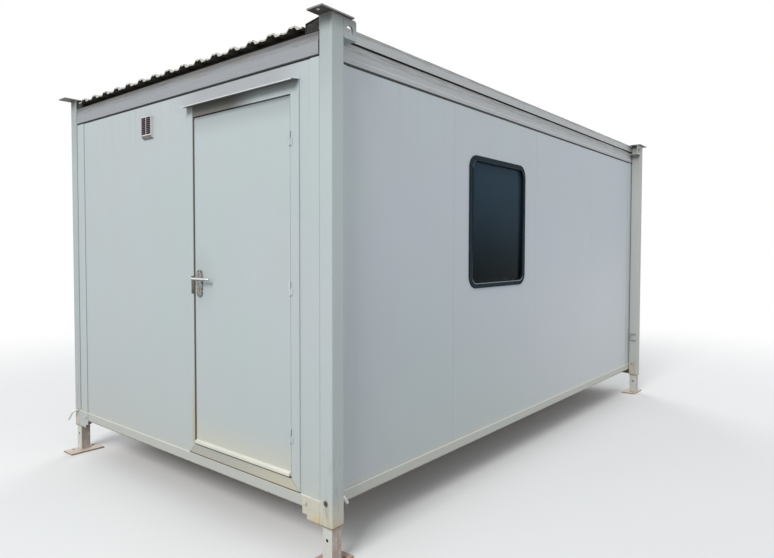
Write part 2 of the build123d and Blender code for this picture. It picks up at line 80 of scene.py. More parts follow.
# %% A socket that does sums
class Wire:
    """One output socket in a graph. Sums on it add Math nodes."""

    def __init__(self, graph, socket):
        self.graph = graph
        self.socket = socket

    def sum(self, operation, first, second):
        return self.graph.add("Math", {"operation": operation}, {0: first, 1: second})

    def __add__(self, other):
        return self.sum("ADD", self, other)

    def __sub__(self, other):
        return self.sum("SUBTRACT", self, other)

    def __mul__(self, other):
        return self.sum("MULTIPLY", self, other)

    def __pow__(self, other):
        return self.sum("POWER", self, other)

    def __or__(self, other):
        return self.sum("MAXIMUM", self, other)

    def __and__(self, other):
        return self.sum("MINIMUM", self, other)

    def __radd__(self, other):
        return self.sum("ADD", other, self)

    def __rsub__(self, other):
        return self.sum("SUBTRACT", other, self)

    def __abs__(self):
        return self.sum("ABSOLUTE", self, 0)

    def rise(self, low, high):
        """Goes smoothly from 0 to 1 as the value goes from low to high, the larger or not."""
        inputs = {"Value": self, "From Min": min(low, high), "From Max": max(low, high)}
        rising = self.graph.add("MapRange", {"interpolation_type": "SMOOTHSTEP"}, inputs)
        return rising if low < high else 1 - rising

    def near(self, place, reach):
        """1 at a place on an axis, falling to 0 at reach on both sides."""
        return abs(self - place).rise(reach, 0.0)

    def beside(self, name):
        """Another output of the same node."""
        return Wire(self.graph, self.socket.node.outputs[name])


def linear(value):
    """One channel of a paint chart's colour, 0 to 255, as a shader counts it."""
    value /= 255
    return ((value + 0.055) / 1.055) ** 2.4 if value > 0.04 else value / 12.92


def chart(colour):
    """A paint chart's colour for a shader. A wire or four numbers are one already."""
    if isinstance(colour, Wire) or len(colour) == 4:
        return colour
    return (*map(linear, colour), 1.0)


print("chart grey 128 is", round(linear(128), 3), "in a shader")

# %% [markdown]
# Every node comes from one method, so nothing below repeats the business of making and
# linking. Stretching the coordinates before the noise turns blots into streaks.

# %% A graph that makes nodes
class Graph:
    """The nodes of a material or a world."""

    def __init__(self, name, kind="materials"):
        self.owner = getattr(bpy.data, kind).new(name)
        self.owner.use_nodes = True
        self.tree = self.owner.node_tree
        self.tree.nodes.clear()
        self.spot = self.add("TexCoord", out="Object")
        self.x = self.add("SeparateXYZ", inputs={0: self.spot})
        self.y, self.z = self.x.beside("Y"), self.x.beside("Z")

    def add(self, kind, settings=None, inputs=None, out=0):
        """Makes a node, applies its settings, then sets or links its inputs."""
        node = self.tree.nodes.new("ShaderNode" + kind)
        for key, value in (settings or {}).items():
            setattr(node, key, value)
        for key, value in (inputs or {}).items():
            if isinstance(value, Wire):
                self.tree.links.new(value.socket, node.inputs[key])
            else:
                node.inputs[key].default_value = value
        return Wire(self, node.outputs[out]) if node.outputs else node

    def ramp(self, factor, stops):
        """A colour that follows a factor through stops of (place, colour)."""
        wire = self.add("ValToRGB", inputs={0: factor})
        elements = wire.socket.node.color_ramp.elements
        while len(elements) < len(stops):
            elements.new(0.5)
        for element, (place, colour) in zip(elements, stops):
            element.position = place
            element.color = chart(colour)
        return wire

    def facing(self, axis):
        """How far a face looks along an axis, from -1 to 1."""
        outward = self.add("TexCoord", out="Normal")
        return self.add("SeparateXYZ", inputs={0: outward}, out="XYZ".index(axis))

    def square_to(self, axis):
        """1 on the faces that look along an axis, either way."""
        return abs(self.facing(axis)).rise(0.6, 0.8)

    def noise(self, scale, detail=3.0, rough=0.55, spot=None):
        inputs = {"Vector": spot or self.spot, "Scale": scale, "Detail": detail, "Roughness": rough}
        return self.add("TexNoise", inputs=inputs)

    def streaks(self, stretch, scale, detail, rough=0.55):
        """Noise on coordinates that are multiplied by three numbers first."""
        spot = self.add("VectorMath", {"operation": "MULTIPLY"}, {0: self.spot, 1: stretch})
        return self.noise(scale, detail, rough, spot)

    def blend(self, mask, under, over):
        """The under colour where the mask is 0 and the over colour where it is 1."""
        inputs = {0: mask, 6: chart(under), 7: chart(over)}
        return self.add("Mix", {"data_type": "RGBA"}, inputs, out=2)

    def bump(self, height, depth, strength=1.0, under=None):
        """Bends the normal by a height of 0 to 1 that stands for depth metres."""
        inputs = {"Height": height, "Distance": depth, "Strength": strength}
        if under is not None:
            inputs["Normal"] = under
        return self.add("Bump", inputs=inputs)


# %% [markdown]
# A skin starts with one colour, and each coat covers it where a mask says so, the way
# paint, dust and rust come over one another on the real cabin.

# %% Coats on a skin
class Skin(Graph):
    """A material, and the colour that it has so far."""

    def __init__(self, name, colour):
        super().__init__(name)
        self.colour = colour

    def coat(self, mask, colour):
        """Covers the skin with a colour where the mask is 1."""
        self.colour = self.blend(mask, self.colour, colour)

    def shade(self, amount):
        """Multiplies the colour by an amount that may pass 1."""
        tint = self.add("CombineColor", inputs={0: amount, 1: amount, 2: amount})
        settings = {"data_type": "RGBA", "blend_type": "MULTIPLY"}
        self.colour = self.add("Mix", settings, {0: 1.0, 6: chart(self.colour), 7: tint}, out=2)

    def finish(self, roughness, normal, others=None):
        """Ends the graph in a Principled shader and returns the material."""
        inputs = {"Base Color": self.colour, "Roughness": roughness, "Normal": normal}
        inputs.update(others or {})
        shader = self.add("BsdfPrincipled", inputs=inputs)
        self.add("OutputMaterial", inputs={"Surface": shader})
        return self.owner


def dress(names, material):
    """Gives CAD pieces a material."""
    for name in names:
        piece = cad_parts[name]
        piece.data.materials.clear()
        piece.data.materials.append(material)
    print(material.name, "on", len(names), "pieces")


# %% [markdown]
# ## Site paint
# Nearly everything on this cabin wears the same pale grey gloss, sprayed and then
# brushed over several times. The recipe takes the places where age shows: the height
# of the ledge that water runs down from, the height of the foot where splashes dry,
# and how much rust has come through. One recipe with other numbers keeps the pieces
# alike, as one tin of paint does.

# %% The paint recipe
PALE = (186, 194, 197)
COOL = (180, 193, 194)
DUSTY = (188, 187, 178)
CREAM = (203, 197, 174)
GRIME = (92, 90, 80)
RUST = (112, 66, 38)
RUST_WASH = (168, 140, 102)
DUST_TOP, DUST_FOOT = 1.5, 0.25
SEAM_REACH = 0.003


def site_paint(
    name, colour=PALE, foot=None, ledge=None, seams=(), cream=0.5, rust=0.0, streaks=0.5,
    rough=0.42, gloss=0.5, extra=None
):
    """Aged paint. foot and ledge are (height, reach) in metres, seams are (axis, place)
    pairs, and extra is a function that lays more coats at the end."""
    skin = Skin(name, colour)
    z = skin.z
    cloud = skin.noise(0.9, 3.0)
    mottle = skin.noise(6.0, 5.0, 0.6)
    brush = skin.streaks((9, 9, 0.5), 2.0, 4.0, 0.6)
    skin.coat(cloud.rise(0.38, 0.62), skin.blend(0.6, colour, COOL))
    skin.shade(0.94 + cloud * 0.07 + mottle * 0.04 + (brush - 0.5) * 0.035 * streaks)
    dust = (z + cloud * 0.5).rise(DUST_TOP, DUST_FOOT)
    skin.coat(dust * 0.3, DUSTY)

    drip = skin.streaks((34, 34, 0.7), 1.0, 4.0, 0.65)
    if ledge is not None:
        height, reach = ledge
        run = z.rise(height - reach, height) * drip.rise(0.5, 0.75)
        skin.coat(run * 0.12 * streaks, GRIME)
    if foot is not None:
        height, reach = foot
        splash = (z + mottle * reach * 0.8).rise(height + reach, height)
        skin.coat(splash * cream, CREAM)
        grit = skin.noise(55, 6.0, 0.75).rise(0.56, 0.72) * splash
        skin.coat(grit * 0.4, GRIME)

    skin.height = skin.noise(420, 2.0) * 0.5 + brush * 0.5
    for axis, place in seams:
        seam = getattr(skin, axis).near(place, SEAM_REACH)
        skin.coat(seam * 0.3, GRIME)
        skin.height = skin.height - seam * 2

    if rust > 0:
        patch = skin.noise(4.0, 3.0).rise(0.5, 0.62)
        fleck = skin.noise(95, 4.0, 0.6)
        specks = fleck.rise(0.735 - 0.06 * rust, 0.775 - 0.06 * rust) * patch
        weep = skin.streaks((130, 130, 7), 1.0, 3.0).rise(0.64, 0.76)
        skin.coat(weep * patch * 0.3 * rust, RUST_WASH)
        skin.coat(specks * 0.85, RUST)
        skin.height = skin.height - specks
    if extra is not None:
        extra(skin)

    waves = skin.bump(skin.noise(1.7, 1.0), 0.004, 0.35)
    normal = skin.bump(skin.height, 0.0004, 0.6, waves)
    return skin.finish(rough + mottle * 0.12, normal, {"Specular IOR Level": gloss})


print("paint chart: pale", PALE, "cool", COOL, "cream", CREAM)

# %% [markdown]
# ## Walls
# The walls are flat steel-faced panels 1.2 m wide. On the long sides the joints show
# as fine upright lines, and on every wall rain has carried dirt down from the top and
# thrown it up from the floor rail. The walls read as nearly plain, so the wear stays
# faint: the eye should find it only when it looks.

# %% Wall wear
WALL_FOOT, WALL_HEAD = 0.324, 2.551
STRIP_CORNER_X, STRIP_CORNER_Y = 1.341, 2.343


def wall_edges(skin):
    """Painted shade along the top of the panels, and a grey line of dirt where they meet the rail.
    """
    # Painted shade: the top of each panel is darkened for the shade in the gap under the roof rail.
    top = skin.z.rise(WALL_HEAD - 0.002, WALL_HEAD - 0.0005)
    skin.coat(top * 0.9, (44, 44, 42))
    ragged = skin.noise(18, 5.0, 0.7)
    low = (skin.z + ragged * 0.012).rise(WALL_FOOT + 0.016, WALL_FOOT + 0.006)
    skin.coat(low * 0.12, (120, 114, 98))


def front_wear(skin):
    """Painted shade on the wall over the door, under the roof rail."""
    x, z = skin.x, skin.z
    # Painted shade: the wall over the door is darkened to the grey it has in the shade of the rail.
    over = x.rise(1.32, 0.95) * x.rise(-0.05, 0.35)
    over = over * z.rise(2.42, 2.48)
    skin.coat(over * 0.9, (166, 167, 171))
    wall_edges(skin)


def side_wear(skin):
    """Painted light: towards the back the lower half is paler."""
    # Painted light: the lower half of the long side is made paler towards the back.
    painted_light_rear = skin.y.rise(-1.6, 1.6) * skin.z.rise(2.2, 0.9)
    skin.coat(painted_light_rear * 0.4, (212, 216, 222))
    wall_edges(skin)


def strip_wear(skin):
    """Painted shade in the corners where a strip meets the post."""
    ahead = skin.square_to("Y")
    # Painted shade in the corner by the post, on the faces that look along Y and along X.
    shade_by_post = abs(skin.x).rise(STRIP_CORNER_X, STRIP_CORNER_X + 0.005) * ahead
    skin.coat(shade_by_post * 0.5, GRIME)
    aside = skin.square_to("X")
    shade_by_side_post = abs(skin.y).rise(STRIP_CORNER_Y, STRIP_CORNER_Y + 0.005) * aside
    skin.coat(shade_by_side_post * 0.5, GRIME)


# %% Wall paint
SIDE_SEAMS = [("y", place) for place in (-1.213, -0.013, 1.187)]
BACK_SEAMS = [("x", place) for place in (-0.42, 0.78)]


def wall_paint(name, seams, reach, streaks, extra, colour=PALE):
    """Site paint for a wall, with splashes as far as reach above its foot."""
    foot, ledge = (WALL_FOOT, reach), (WALL_HEAD, 0.6)
    return site_paint(name, colour, foot, ledge, seams, 0.3, 0.2, streaks, extra=extra)


front_paint = wall_paint("front_wall_paint", (), 0.22, 0.6, front_wear)
# The long sides have a bluer grey than the front, a painted tint for the bluish shade on that side.
side_paint = wall_paint("side_wall_paint", SIDE_SEAMS, 0.12, 0.5, side_wear, (183, 191, 200))
back_paint = wall_paint("back_wall_paint", BACK_SEAMS, 0.2, 0.8, wall_edges)
strip_paint = site_paint(
    "corner_strip_paint", foot=(WALL_FOOT, 0.2), ledge=(WALL_HEAD, 0.4), cream=0.35, rust=0.3,
    extra=strip_wear
)
dress(["front_wall_left", "front_wall_right", "front_wall_over_door"], front_paint)
for side in ("right", "left"):
    dress([f"{side}_wall_{part}" for part in ("front", "window", "rear")], side_paint)
dress(["back_wall"], back_paint)
dress(["corner_strips"], strip_paint)

# %% [markdown]
# ## Frame
# The posts, rails and gussets take the knocks. Their foot is stained cream by water
# that stands in the folded steel, rust bleeds out of the pin holes, and the rails
# under the roof hold dirt in each fold. The extra function in the recipe draws what
# only one kind of piece has.

# %% Posts
PIN_Z = 0.321
POST_X, POST_Y = 1.3915, 2.3935
POST_FOOT, POST_TOP = 0.2, 2.745


def post_wear(skin):
    """Rust round the pin hole, a cream foot with a rusty edge, painted shadow at the head under the
    stacking plate, and painted shade on the side faces and the posts to the far left.
    """
    x, y, z = skin.x, skin.y, skin.z
    across = abs(abs(x) - POST_X)
    up = z - PIN_Z
    ragged = skin.noise(70, 4.0, 0.7)
    blot = skin.noise(16, 5.0, 0.65)
    low = (z + blot * 0.12).rise(0.44, 0.30)
    skin.coat(low * 0.7, (206, 200, 178))
    by_gusset = (abs(x) + blot * 0.05).rise(1.405, 1.365)
    stain = (z + blot * 0.08).rise(0.30, 0.225) * blot.rise(0.38, 0.6)
    skin.coat(stain * (0.35 + by_gusset * 0.3), (194, 164, 106))
    smear = skin.streaks((20, 20, 5), 1.0, 5.0, 0.7)
    smear = smear.rise(0.5, 0.7) * z.rise(0.75, 0.3)
    skin.coat(smear * 0.4, (128, 114, 92))
    weather = y.rise(0.5, 2.3)
    skin.coat(weather * 0.45, (178, 172, 162))

    ring = ((across * across + up * up) ** 0.5 + ragged * 0.012).rise(0.027, 0.016)
    below = z.rise(PIN_Z - 0.07, PIN_Z) * z.rise(PIN_Z + 0.004, PIN_Z)
    run = below * (across + ragged * 0.01).rise(0.016, 0.006)
    skin.coat(run * 0.3, RUST_WASH)
    skin.coat(ring * 0.9, (74, 52, 38))
    # Painted shade: the faces that look along X, and the posts to the far left, are darkened.
    shaded_side = skin.square_to("X")
    shade_far_left = x.rise(0.0, -1.3)
    skin.shade(1 - shaded_side * 0.10 - shade_far_left * 0.10)
    edge = (z + ragged * 0.006).rise(0.213, 0.206)
    skin.coat(edge * 0.75, (110, 82, 54))

    # Painted shadow of the stacking plate: dark at the head and fainter further down.
    head = (z + blot * 0.04).rise(POST_TOP - 0.08, POST_TOP + 0.02)
    skin.coat(head * 0.6, (104, 106, 104))
    shade_from_above = z.rise(POST_TOP - 0.6, POST_TOP)
    skin.coat(shade_from_above * (0.24 - shaded_side * 0.08), GRIME)
    scuff = skin.streaks((90, 90, 5), 1.0, 4.0)
    skin.coat(scuff.rise(0.66, 0.72) * 0.15, GRIME)
    skin.height = skin.height - ring


post_paint = site_paint(
    "post_paint", foot=(POST_FOOT, 0.2), ledge=(POST_TOP, 0.25), cream=0.3, rust=0.35, streaks=0.7,
    extra=post_wear
)
CORNERS = ("front_right", "front_left", "back_right", "back_left")
dress([f"post_{corner}" for corner in CORNERS] + ["lifting_eyes"], post_paint)
dress(["post_staples"], strip_paint)

# %% [markdown]
# The gussets at the post feet are stained more than anything else: wholly cream, with
# a yellow rust in the corner by the post, where water leaves last, and a painted
# highlight along the upper edge.

# %% Gussets and floor rails
GUSSET_LOW, GUSSET_HIGH = 0.203, 0.326
RAIL_LOW, RAIL_HIGH = 0.262, 0.324


def gusset_wear(skin):
    """Cream stains, a rusty corner by the post and lower edge, and a painted highlight on the upper
    edge.
    """
    x, z = skin.x, skin.z
    blot = skin.noise(24, 5.0, 0.65)
    stained = x.rise(-1.6, 1.0)
    skin.coat(stained * (0.5 + blot * 0.3), (210, 203, 180))
    grey = skin.noise(38, 5.0, 0.7).rise(0.5, 0.62)
    skin.coat(grey * 0.3, (170, 170, 158))
    corner = (abs(x) + blot * 0.09).rise(1.285, 1.385)
    corner = corner * (z + blot * 0.08).rise(0.31, 0.24) * stained
    skin.coat(corner * 0.62, (208, 182, 116))
    scab = skin.noise(90, 4.0, 0.7).rise(0.56, 0.64) * corner
    skin.coat(scab * 0.5, (160, 112, 58))
    joint = abs(x).rise(STRIP_CORNER_X, STRIP_CORNER_X + 0.004) * (z + blot * 0.06).rise(0.33, 0.27)
    skin.coat(joint * stained * 0.22, (186, 146, 92))
    edge = (z + blot * 0.012).rise(0.218, 0.208)
    skin.coat(edge * 0.6, RUST)
    # Painted highlight along the upper edge.
    painted_highlight = (z + blot * 0.004).rise(GUSSET_HIGH - 0.003, GUSSET_HIGH)
    skin.coat(painted_highlight * 0.9, (236, 235, 226))


def rail_wear(skin):
    """Brownish dust, chips, a painted highlight along the ledge on top and a dark lower edge."""
    chips = skin.noise(45, 5.0, 0.7)
    dusty = skin.streaks((3, 3, 14), 1.0, 4.0)
    skin.coat(0.3 + dusty * 0.3, (188, 185, 173))
    skin.coat(chips.rise(0.62, 0.7) * 0.5, (222, 220, 208))
    # Painted highlight along the top ledge, where it faces the sky.
    ledge = skin.z.rise(RAIL_HIGH - 0.006, RAIL_HIGH - 0.003)
    skin.coat(ledge * 0.85, (228, 228, 220))
    low = (skin.z + chips * 0.010).rise(RAIL_LOW + 0.013, RAIL_LOW + 0.005)
    skin.coat(low * 0.8, (84, 74, 58))


gusset_paint = site_paint(
    "gusset_paint", foot=(POST_FOOT, 0.12), cream=0.4, rust=0.6, extra=gusset_wear
)
rail_paint = site_paint(
    "floor_rail_paint", foot=(RAIL_LOW, 0.05), cream=0.4, rust=0.4, extra=rail_wear
)
dress(["gusset_plates"], gusset_paint)
dress([f"floor_rail_{side}" for side in ("right", "left", "front", "back")], rail_paint)

# %% [markdown]
# Dirt lies along the rails under the roof in level streaks, thicker towards the top,
# where the sheet drips on them, and a painted shade darkens the fascia under the sheet.
# The hollow behind the foot of each edge cap is painted black, for the shade in it.

# %% Roof rails and edge caps
FASCIA_FOLD, FASCIA_TOP = 2.630, 2.675
RIDGE = 2.590
CAP_LOW, CAP_HIGH = 2.678, 2.743
CAP_FACE, CAP_END = 1.347, 2.434


def level_dirt(skin, top, depth):
    """Fine level streaks that thicken towards a height, with streaks of painted shade near it."""
    streak = skin.streaks((5, 5, 150), 1.0, 5.0, 0.7)
    level = skin.facing("Z").rise(0.7, 0.9)
    upper = skin.z.rise(top - depth, top) * (1 - level * 0.6)
    lines = (streak + upper * 0.16).rise(0.56, 0.70)
    skin.coat(lines * 0.5, (116, 110, 106))
    # Painted shade under the overhang, broken up by the streaks.
    shade = upper * streak.rise(0.3, 0.6)
    skin.coat(shade * 0.45, (104, 102, 96))


def roof_rail_wear(skin):
    """A dull fascia with painted shade on its face, darkest under the sheet, and a painted
    highlight on the ridge along the sides.
    """
    z = skin.z
    skin.coat(0.6, (160, 161, 166))
    ahead = skin.square_to("Y")
    # Painted shade on the faces that look along Y, the fascias, which stand in the shade of the
    # sheet.
    skin.coat(ahead * 0.5, (128, 131, 137))
    level_dirt(skin, FASCIA_TOP, 0.07)
    # Painted shade under the overhang of the roof sheet.
    shade_under_sheet = z.rise(FASCIA_TOP - 0.040, FASCIA_TOP - 0.004) * ahead
    skin.coat(shade_under_sheet * 0.6, (70, 68, 66))
    fold = z.near(FASCIA_FOLD + 0.003, 0.004)
    skin.coat(fold * 0.35, GRIME)
    # Painted highlight along the ridge of the side rails.
    ridge_highlight = z.near(RIDGE, 0.006) * (1 - ahead)
    skin.coat(ridge_highlight * 0.6, (206, 206, 210))


def cap_wear(skin):
    """Streaks, painted black shade behind the foot and on the inner faces, and dark painted shade
    with dirt on the cut ends.
    """
    x, y, z = skin.x, skin.y, skin.z
    skin.coat(0.45, (168, 164, 167))
    level_dirt(skin, CAP_HIGH, 0.03)
    foot = z.rise(CAP_LOW + 0.001, CAP_LOW)
    inner = abs(x).rise(CAP_FACE - 0.0008, CAP_FACE - 0.0016)
    inner = inner * skin.facing("Z").rise(0.5, 0.2)
    cut = abs(y).rise(CAP_END - 0.0008, CAP_END - 0.0002)
    cut = cut * abs(x).rise(CAP_FACE - 0.003, CAP_FACE - 0.004)
    # Painted shade behind the foot and on the inner faces, and painted shade with dirt on the cut
    # ends.
    dark = foot | inner | cut * 0.8
    skin.coat(dark * 0.95, (36, 36, 34))


roof_rail_paint = site_paint(
    "roof_rail_paint", ledge=(CAP_HIGH, 0.05), cream=0.25, rust=0.3, streaks=0.8,
    extra=roof_rail_wear
)
cap_paint = site_paint(
    "edge_cap_paint", ledge=(CAP_HIGH, 0.03), rust=0.3, streaks=0.8, extra=cap_wear
)
dress(["roof_rail_right", "roof_rail_left", "fascia_front", "fascia_back"], roof_rail_paint)
dress(["roof_edge_cap_right", "roof_edge_cap_left"], cap_paint)

# %% [markdown]
# ## Legs, pins and plates
# The jack legs slide in and out of the posts, so their paint is scraped down to a
# warm primer on the faces that rub, and the plates they stand on are rusty at the
# edges under a pinkish dust. Rust has a recipe of its own, with paint left in islands.

# %% Rust and worn paint
RUST_STOPS = [(0.3, (92, 60, 44)), (0.5, (146, 104, 80)), (0.7, (184, 152, 132))]


def worn_steel(name, paint, wear, extra=None):
    """Paint worn through to primer and rust. extra lays coats and may change the lost paint."""
    skin = Skin(name, paint)
    skin.blot = skin.noise(16, 6.0, 0.7)
    skin.fine = skin.noise(120, 5.0, 0.75)
    skin.scrape = skin.streaks((110, 110, 4), 1.0, 5.0, 0.7)

    steel = skin.ramp(skin.fine * 0.5 + skin.blot * 0.5, RUST_STOPS)
    lost = (skin.blot * 0.6 + skin.scrape * 0.4).rise(0.66 - 0.3 * wear, 0.74 - 0.3 * wear)
    skin.shade(0.93 + skin.blot * 0.12)
    if extra is not None:
        lost = extra(skin, lost)
    skin.coat(lost, steel)
    height = (1 - lost) * 0.6 + skin.fine * 0.4
    return skin.finish(0.5 + lost * 0.3, skin.bump(height, 0.0006, 0.8))


PLATE_TOP = 0.010
PIN_TIP, PIN_HOLE_BACK = -2.432, -2.427


def leg_wear(skin, lost):
    """Primer on the faces that look along X, rust at the foot and dust on the plate."""
    x, y, z = skin.x, skin.y, skin.z
    rubbed = skin.square_to("X")
    rubbed = rubbed * (skin.blot * 0.5 + skin.scrape * 0.5).rise(0.36, 0.54)
    skin.coat(rubbed * 0.8, (158, 136, 124))
    skin.coat(skin.scrape.rise(0.58, 0.7) * 0.35, (176, 156, 138))

    upward = skin.facing("Z").rise(0.6, 0.8)
    on_plate = z.rise(PLATE_TOP + 0.001, PLATE_TOP)
    sandy = x.rise(0.2, -0.2) | y.rise(-0.5, 0.5)
    dust = skin.blend(sandy, (198, 172, 156), (214, 200, 186))
    skin.coat(upward * on_plate, dust)
    rim = on_plate * (1 - upward) * skin.blot.rise(0.35, 0.5)
    joint = z.near(PLATE_TOP, 0.014) * skin.fine.rise(0.4, 0.55) * (1 - upward)
    speckled = upward * on_plate * skin.fine.rise(0.6, 0.7) * 0.7
    return (lost * (1 - on_plate) | rim * 0.8) | (joint * 0.7 | speckled)


def pin_wear(skin, lost):
    """A rusty tip in the hole by the door, the one that shows, with painted shade to its right."""
    x, y = skin.x, skin.y
    tip = y.rise(PIN_HOLE_BACK, PIN_TIP) * x.rise(0.0, 0.5)
    # Painted shade on the right of the tip, inside the hole.
    shade = x.rise(POST_X - 0.004, POST_X + 0.002)
    rusty = skin.blend(shade, (88, 66, 54), (8, 7, 6))
    skin.coat(tip * 0.97, rusty)
    return lost


def plate_wear(skin, lost):
    """Grey weathered steel, darker with painted shade and browner with rust underneath."""
    # Painted shade and rust on the undersides.
    under = skin.facing("Z").rise(-0.5, -0.8)
    brown = skin.blend(skin.blot.rise(0.5, 0.7), (78, 72, 72), (122, 98, 84))
    skin.coat(under, brown)
    return lost * 0.6


leg_paint = worn_steel("jack_leg_paint", (206, 207, 201), 0.08, leg_wear)
stacking_steel = worn_steel("stacking_plate_steel", (128, 128, 125), 0.35, plate_wear)
dress([f"jack_leg_{corner}" for corner in CORNERS], leg_paint)
dress(["stacking_plates"], stacking_steel)
dress(["leg_pins"], worn_steel("pin_paint", (240, 241, 238), 0.02, pin_wear))

# %% [markdown]
# ## Doorway
# The door end is where people touch the cabin. The frame is mitred, so its corners
# show a fine slanting line. Rain gathers at the foot of the leaf and leaves it cream,
# and rust runs down the gap on the lock side. The weather bar was painted last, in a
# warmer white.

# %% Door leaf
LEAF_LEFT, LEAF_FOOT, LEAF_TOP = 0.257, 0.393, 2.391
HANDLE_X, HANDLE_Z = 0.307, 1.415


def leaf_wear(skin):
    """Rust and painted shade by the lock-side gap, a cream foot with a dark rim of painted shade
    and rust, painted shade at the head and a grubby patch by the handle.
    """
    x, z = skin.x, skin.z
    ragged = skin.noise(30, 5.0, 0.7)
    edge = (x + ragged * 0.03).rise(LEAF_LEFT + 0.034, LEAF_LEFT + 0.004)
    rusty = edge * (z + ragged * 0.3).rise(1.25, 0.45)
    skin.coat(rusty * 0.75, (182, 164, 118))
    # Painted shade beside the lock-side gap, brown like the rust in it, so that the gap looks
    # wider.
    gap_shade_edge = (x + ragged * 0.003).rise(LEAF_LEFT + 0.0075, LEAF_LEFT + 0.0035)
    skin.coat(gap_shade_edge * 0.7, (98, 84, 68))
    pale_edge = (x + ragged * 0.02).rise(LEAF_LEFT + 0.028, LEAF_LEFT + 0.01)
    skin.coat(pale_edge * 0.25, (196, 190, 172))
    foot = (z + ragged * 0.10).rise(0.66, 0.44)
    skin.coat(foot * 0.5, (205, 201, 180))
    # Painted shade with rust along the foot of the leaf, below the weather bar.
    rim = z.rise(LEAF_FOOT + 0.009, LEAF_FOOT + 0.006)
    skin.coat(rim * 0.9, (62, 54, 42))
    across = x - HANDLE_X
    up = (z - HANDLE_Z) * 0.8
    hands = ((across * across + up * up) ** 0.5 + ragged * 0.08).rise(0.24, 0.08)
    skin.coat(hands * 0.12, GRIME)
    # Painted shade at the head of the leaf, under the frame and canopy.
    drop = LEAF_TOP - z
    shade_at_top = drop.rise(0.14, 0.0) * 0.22 + drop.rise(0.025, 0.0) * 0.35
    skin.shade(1 - shade_at_top)


leaf_paint = site_paint(
    "door_leaf_paint", foot=(LEAF_FOOT, 0.3), cream=0.2, rust=0.12, rough=0.4, extra=leaf_wear
)
dress(["door_leaf"], leaf_paint)

# %% Door frame
FRAME_LEFT, FRAME_RIGHT = 0.180, 1.198
FRAME_FOOT, FRAME_TOP = 0.324, 2.462
FRAME_WIDTH, PAST_ARRIS = 0.063, (0.0625, 0.0645)


def frame_wear(skin):
    """Mitre lines, a sill with painted shade and a cream end, rust and painted shade by the gap,
    painted shade under the canopy and a dark line below.
    """
    x, z = skin.x, skin.z
    left, right = x - FRAME_LEFT, FRAME_RIGHT - x
    low, high = z - FRAME_FOOT, FRAME_TOP - z
    on_left = left.rise(FRAME_WIDTH + 0.003, FRAME_WIDTH + 0.001)
    ragged = skin.noise(26, 5.0, 0.7)
    side_gap = left & right
    # Painted shade on the sill below the weather bar, with some dirt.
    sill = (side_gap - low).rise(-0.001, 0.001)
    sill = sill * low.rise(FRAME_WIDTH + 0.001, FRAME_WIDTH - 0.001)
    skin.coat(sill * 0.75, (170, 167, 156))
    right_end = (x + ragged * 0.2).rise(0.6, 1.2)
    skin.coat(sill * right_end * 0.7, (198, 194, 172))

    lower_left = (z + ragged * 0.3).rise(1.15, 0.45)
    beside_gap = (left + ragged * 0.02).rise(0.034, 0.060) * on_left
    beside_gap = beside_gap * lower_left * low.rise(FRAME_WIDTH - 0.01, FRAME_WIDTH + 0.02)
    skin.coat(beside_gap * 0.75, (178, 162, 124))
    # Painted shade on the arris by the lock-side gap, so that the gap looks wider.
    gap_shade_arris = (left + ragged * 0.003).rise(FRAME_WIDTH - 0.004, FRAME_WIDTH - 0.001)
    gap_shade_arris = gap_shade_arris * on_left * low.rise(FRAME_WIDTH - 0.002, FRAME_WIDTH)
    skin.coat(gap_shade_arris * 0.55, (112, 98, 80))
    # Painted shade with rust on the inner faces of the opening.
    inside = left.rise(*PAST_ARRIS) * right.rise(*PAST_ARRIS)
    inside = inside * low.rise(FRAME_WIDTH - 0.001, FRAME_WIDTH + 0.001)
    brown = skin.blend(lower_left, (76, 68, 58), (84, 62, 38))
    skin.coat(inside * x.rise(0.9, 0.6) * 0.85, brown)

    for across in (left, right):
        for up, strength in ((low, 0.8), (high, 0.15)):
            on_frame = across.rise(FRAME_WIDTH + 0.003, FRAME_WIDTH + 0.001)
            mitre = (across - up).near(0.0, 0.004) * on_frame
            skin.coat(mitre * strength, (112, 104, 84))
            skin.height = skin.height - mitre
    # Painted shade under the canopy.
    shade_from_above = (high + ragged * 0.02).rise(0.055, 0.015)
    skin.coat(shade_from_above * 0.45, GRIME)
    line = (low + ragged * 0.003).rise(0.0105, 0.0075)
    skin.coat(line * 0.85, (84, 68, 44))


frame_paint = site_paint(
    "door_frame_paint", foot=(FRAME_FOOT, 0.3), ledge=(FRAME_TOP, 0.4), cream=0.25, rust=0.25,
    extra=frame_wear
)
dress(["door_frame"], frame_paint)

# %% Weather bar, canopy and hinges
BAR_FOOT = 0.390
CANOPY_LIP = -2.486


def bar_wear(skin):
    """Painted shade on the underside."""
    # Painted shade on the faces that look down.
    under = skin.facing("Z").rise(-0.5, -0.8)
    skin.coat(under * 0.9, (70, 60, 46))


def canopy_wear(skin):
    """A painted highlight on the lip, and an underside darkened by painted shade and dirt."""
    # Painted shade with dirt on the underside.
    under = skin.facing("Z").rise(-0.3, -0.7)
    skin.coat(under * 0.8, (86, 82, 76))
    # Painted highlight along the lip.
    lip_highlight = skin.y.rise(CANOPY_LIP + 0.003, CANOPY_LIP)
    skin.coat(lip_highlight * 0.6, (222, 226, 226))


bar_paint = site_paint(
    "weather_bar_paint", (248, 242, 224), foot=(BAR_FOOT, 0.02), cream=0.2, rust=0.2, rough=0.5,
    extra=bar_wear
)
dress(["door_weather_bar"], bar_paint)
dress(["door_canopy"], site_paint("canopy_paint", cream=0.4, rust=0.4, extra=canopy_wear))
# The hinges are a lighter grey than the frame, a painted light that offsets the shade on their
# knuckles.
hinge_paint = site_paint("hinge_paint", (200, 207, 209), rust=0.3)
dress(["door_hinge_pins", "door_hinge_knuckles"], hinge_paint)

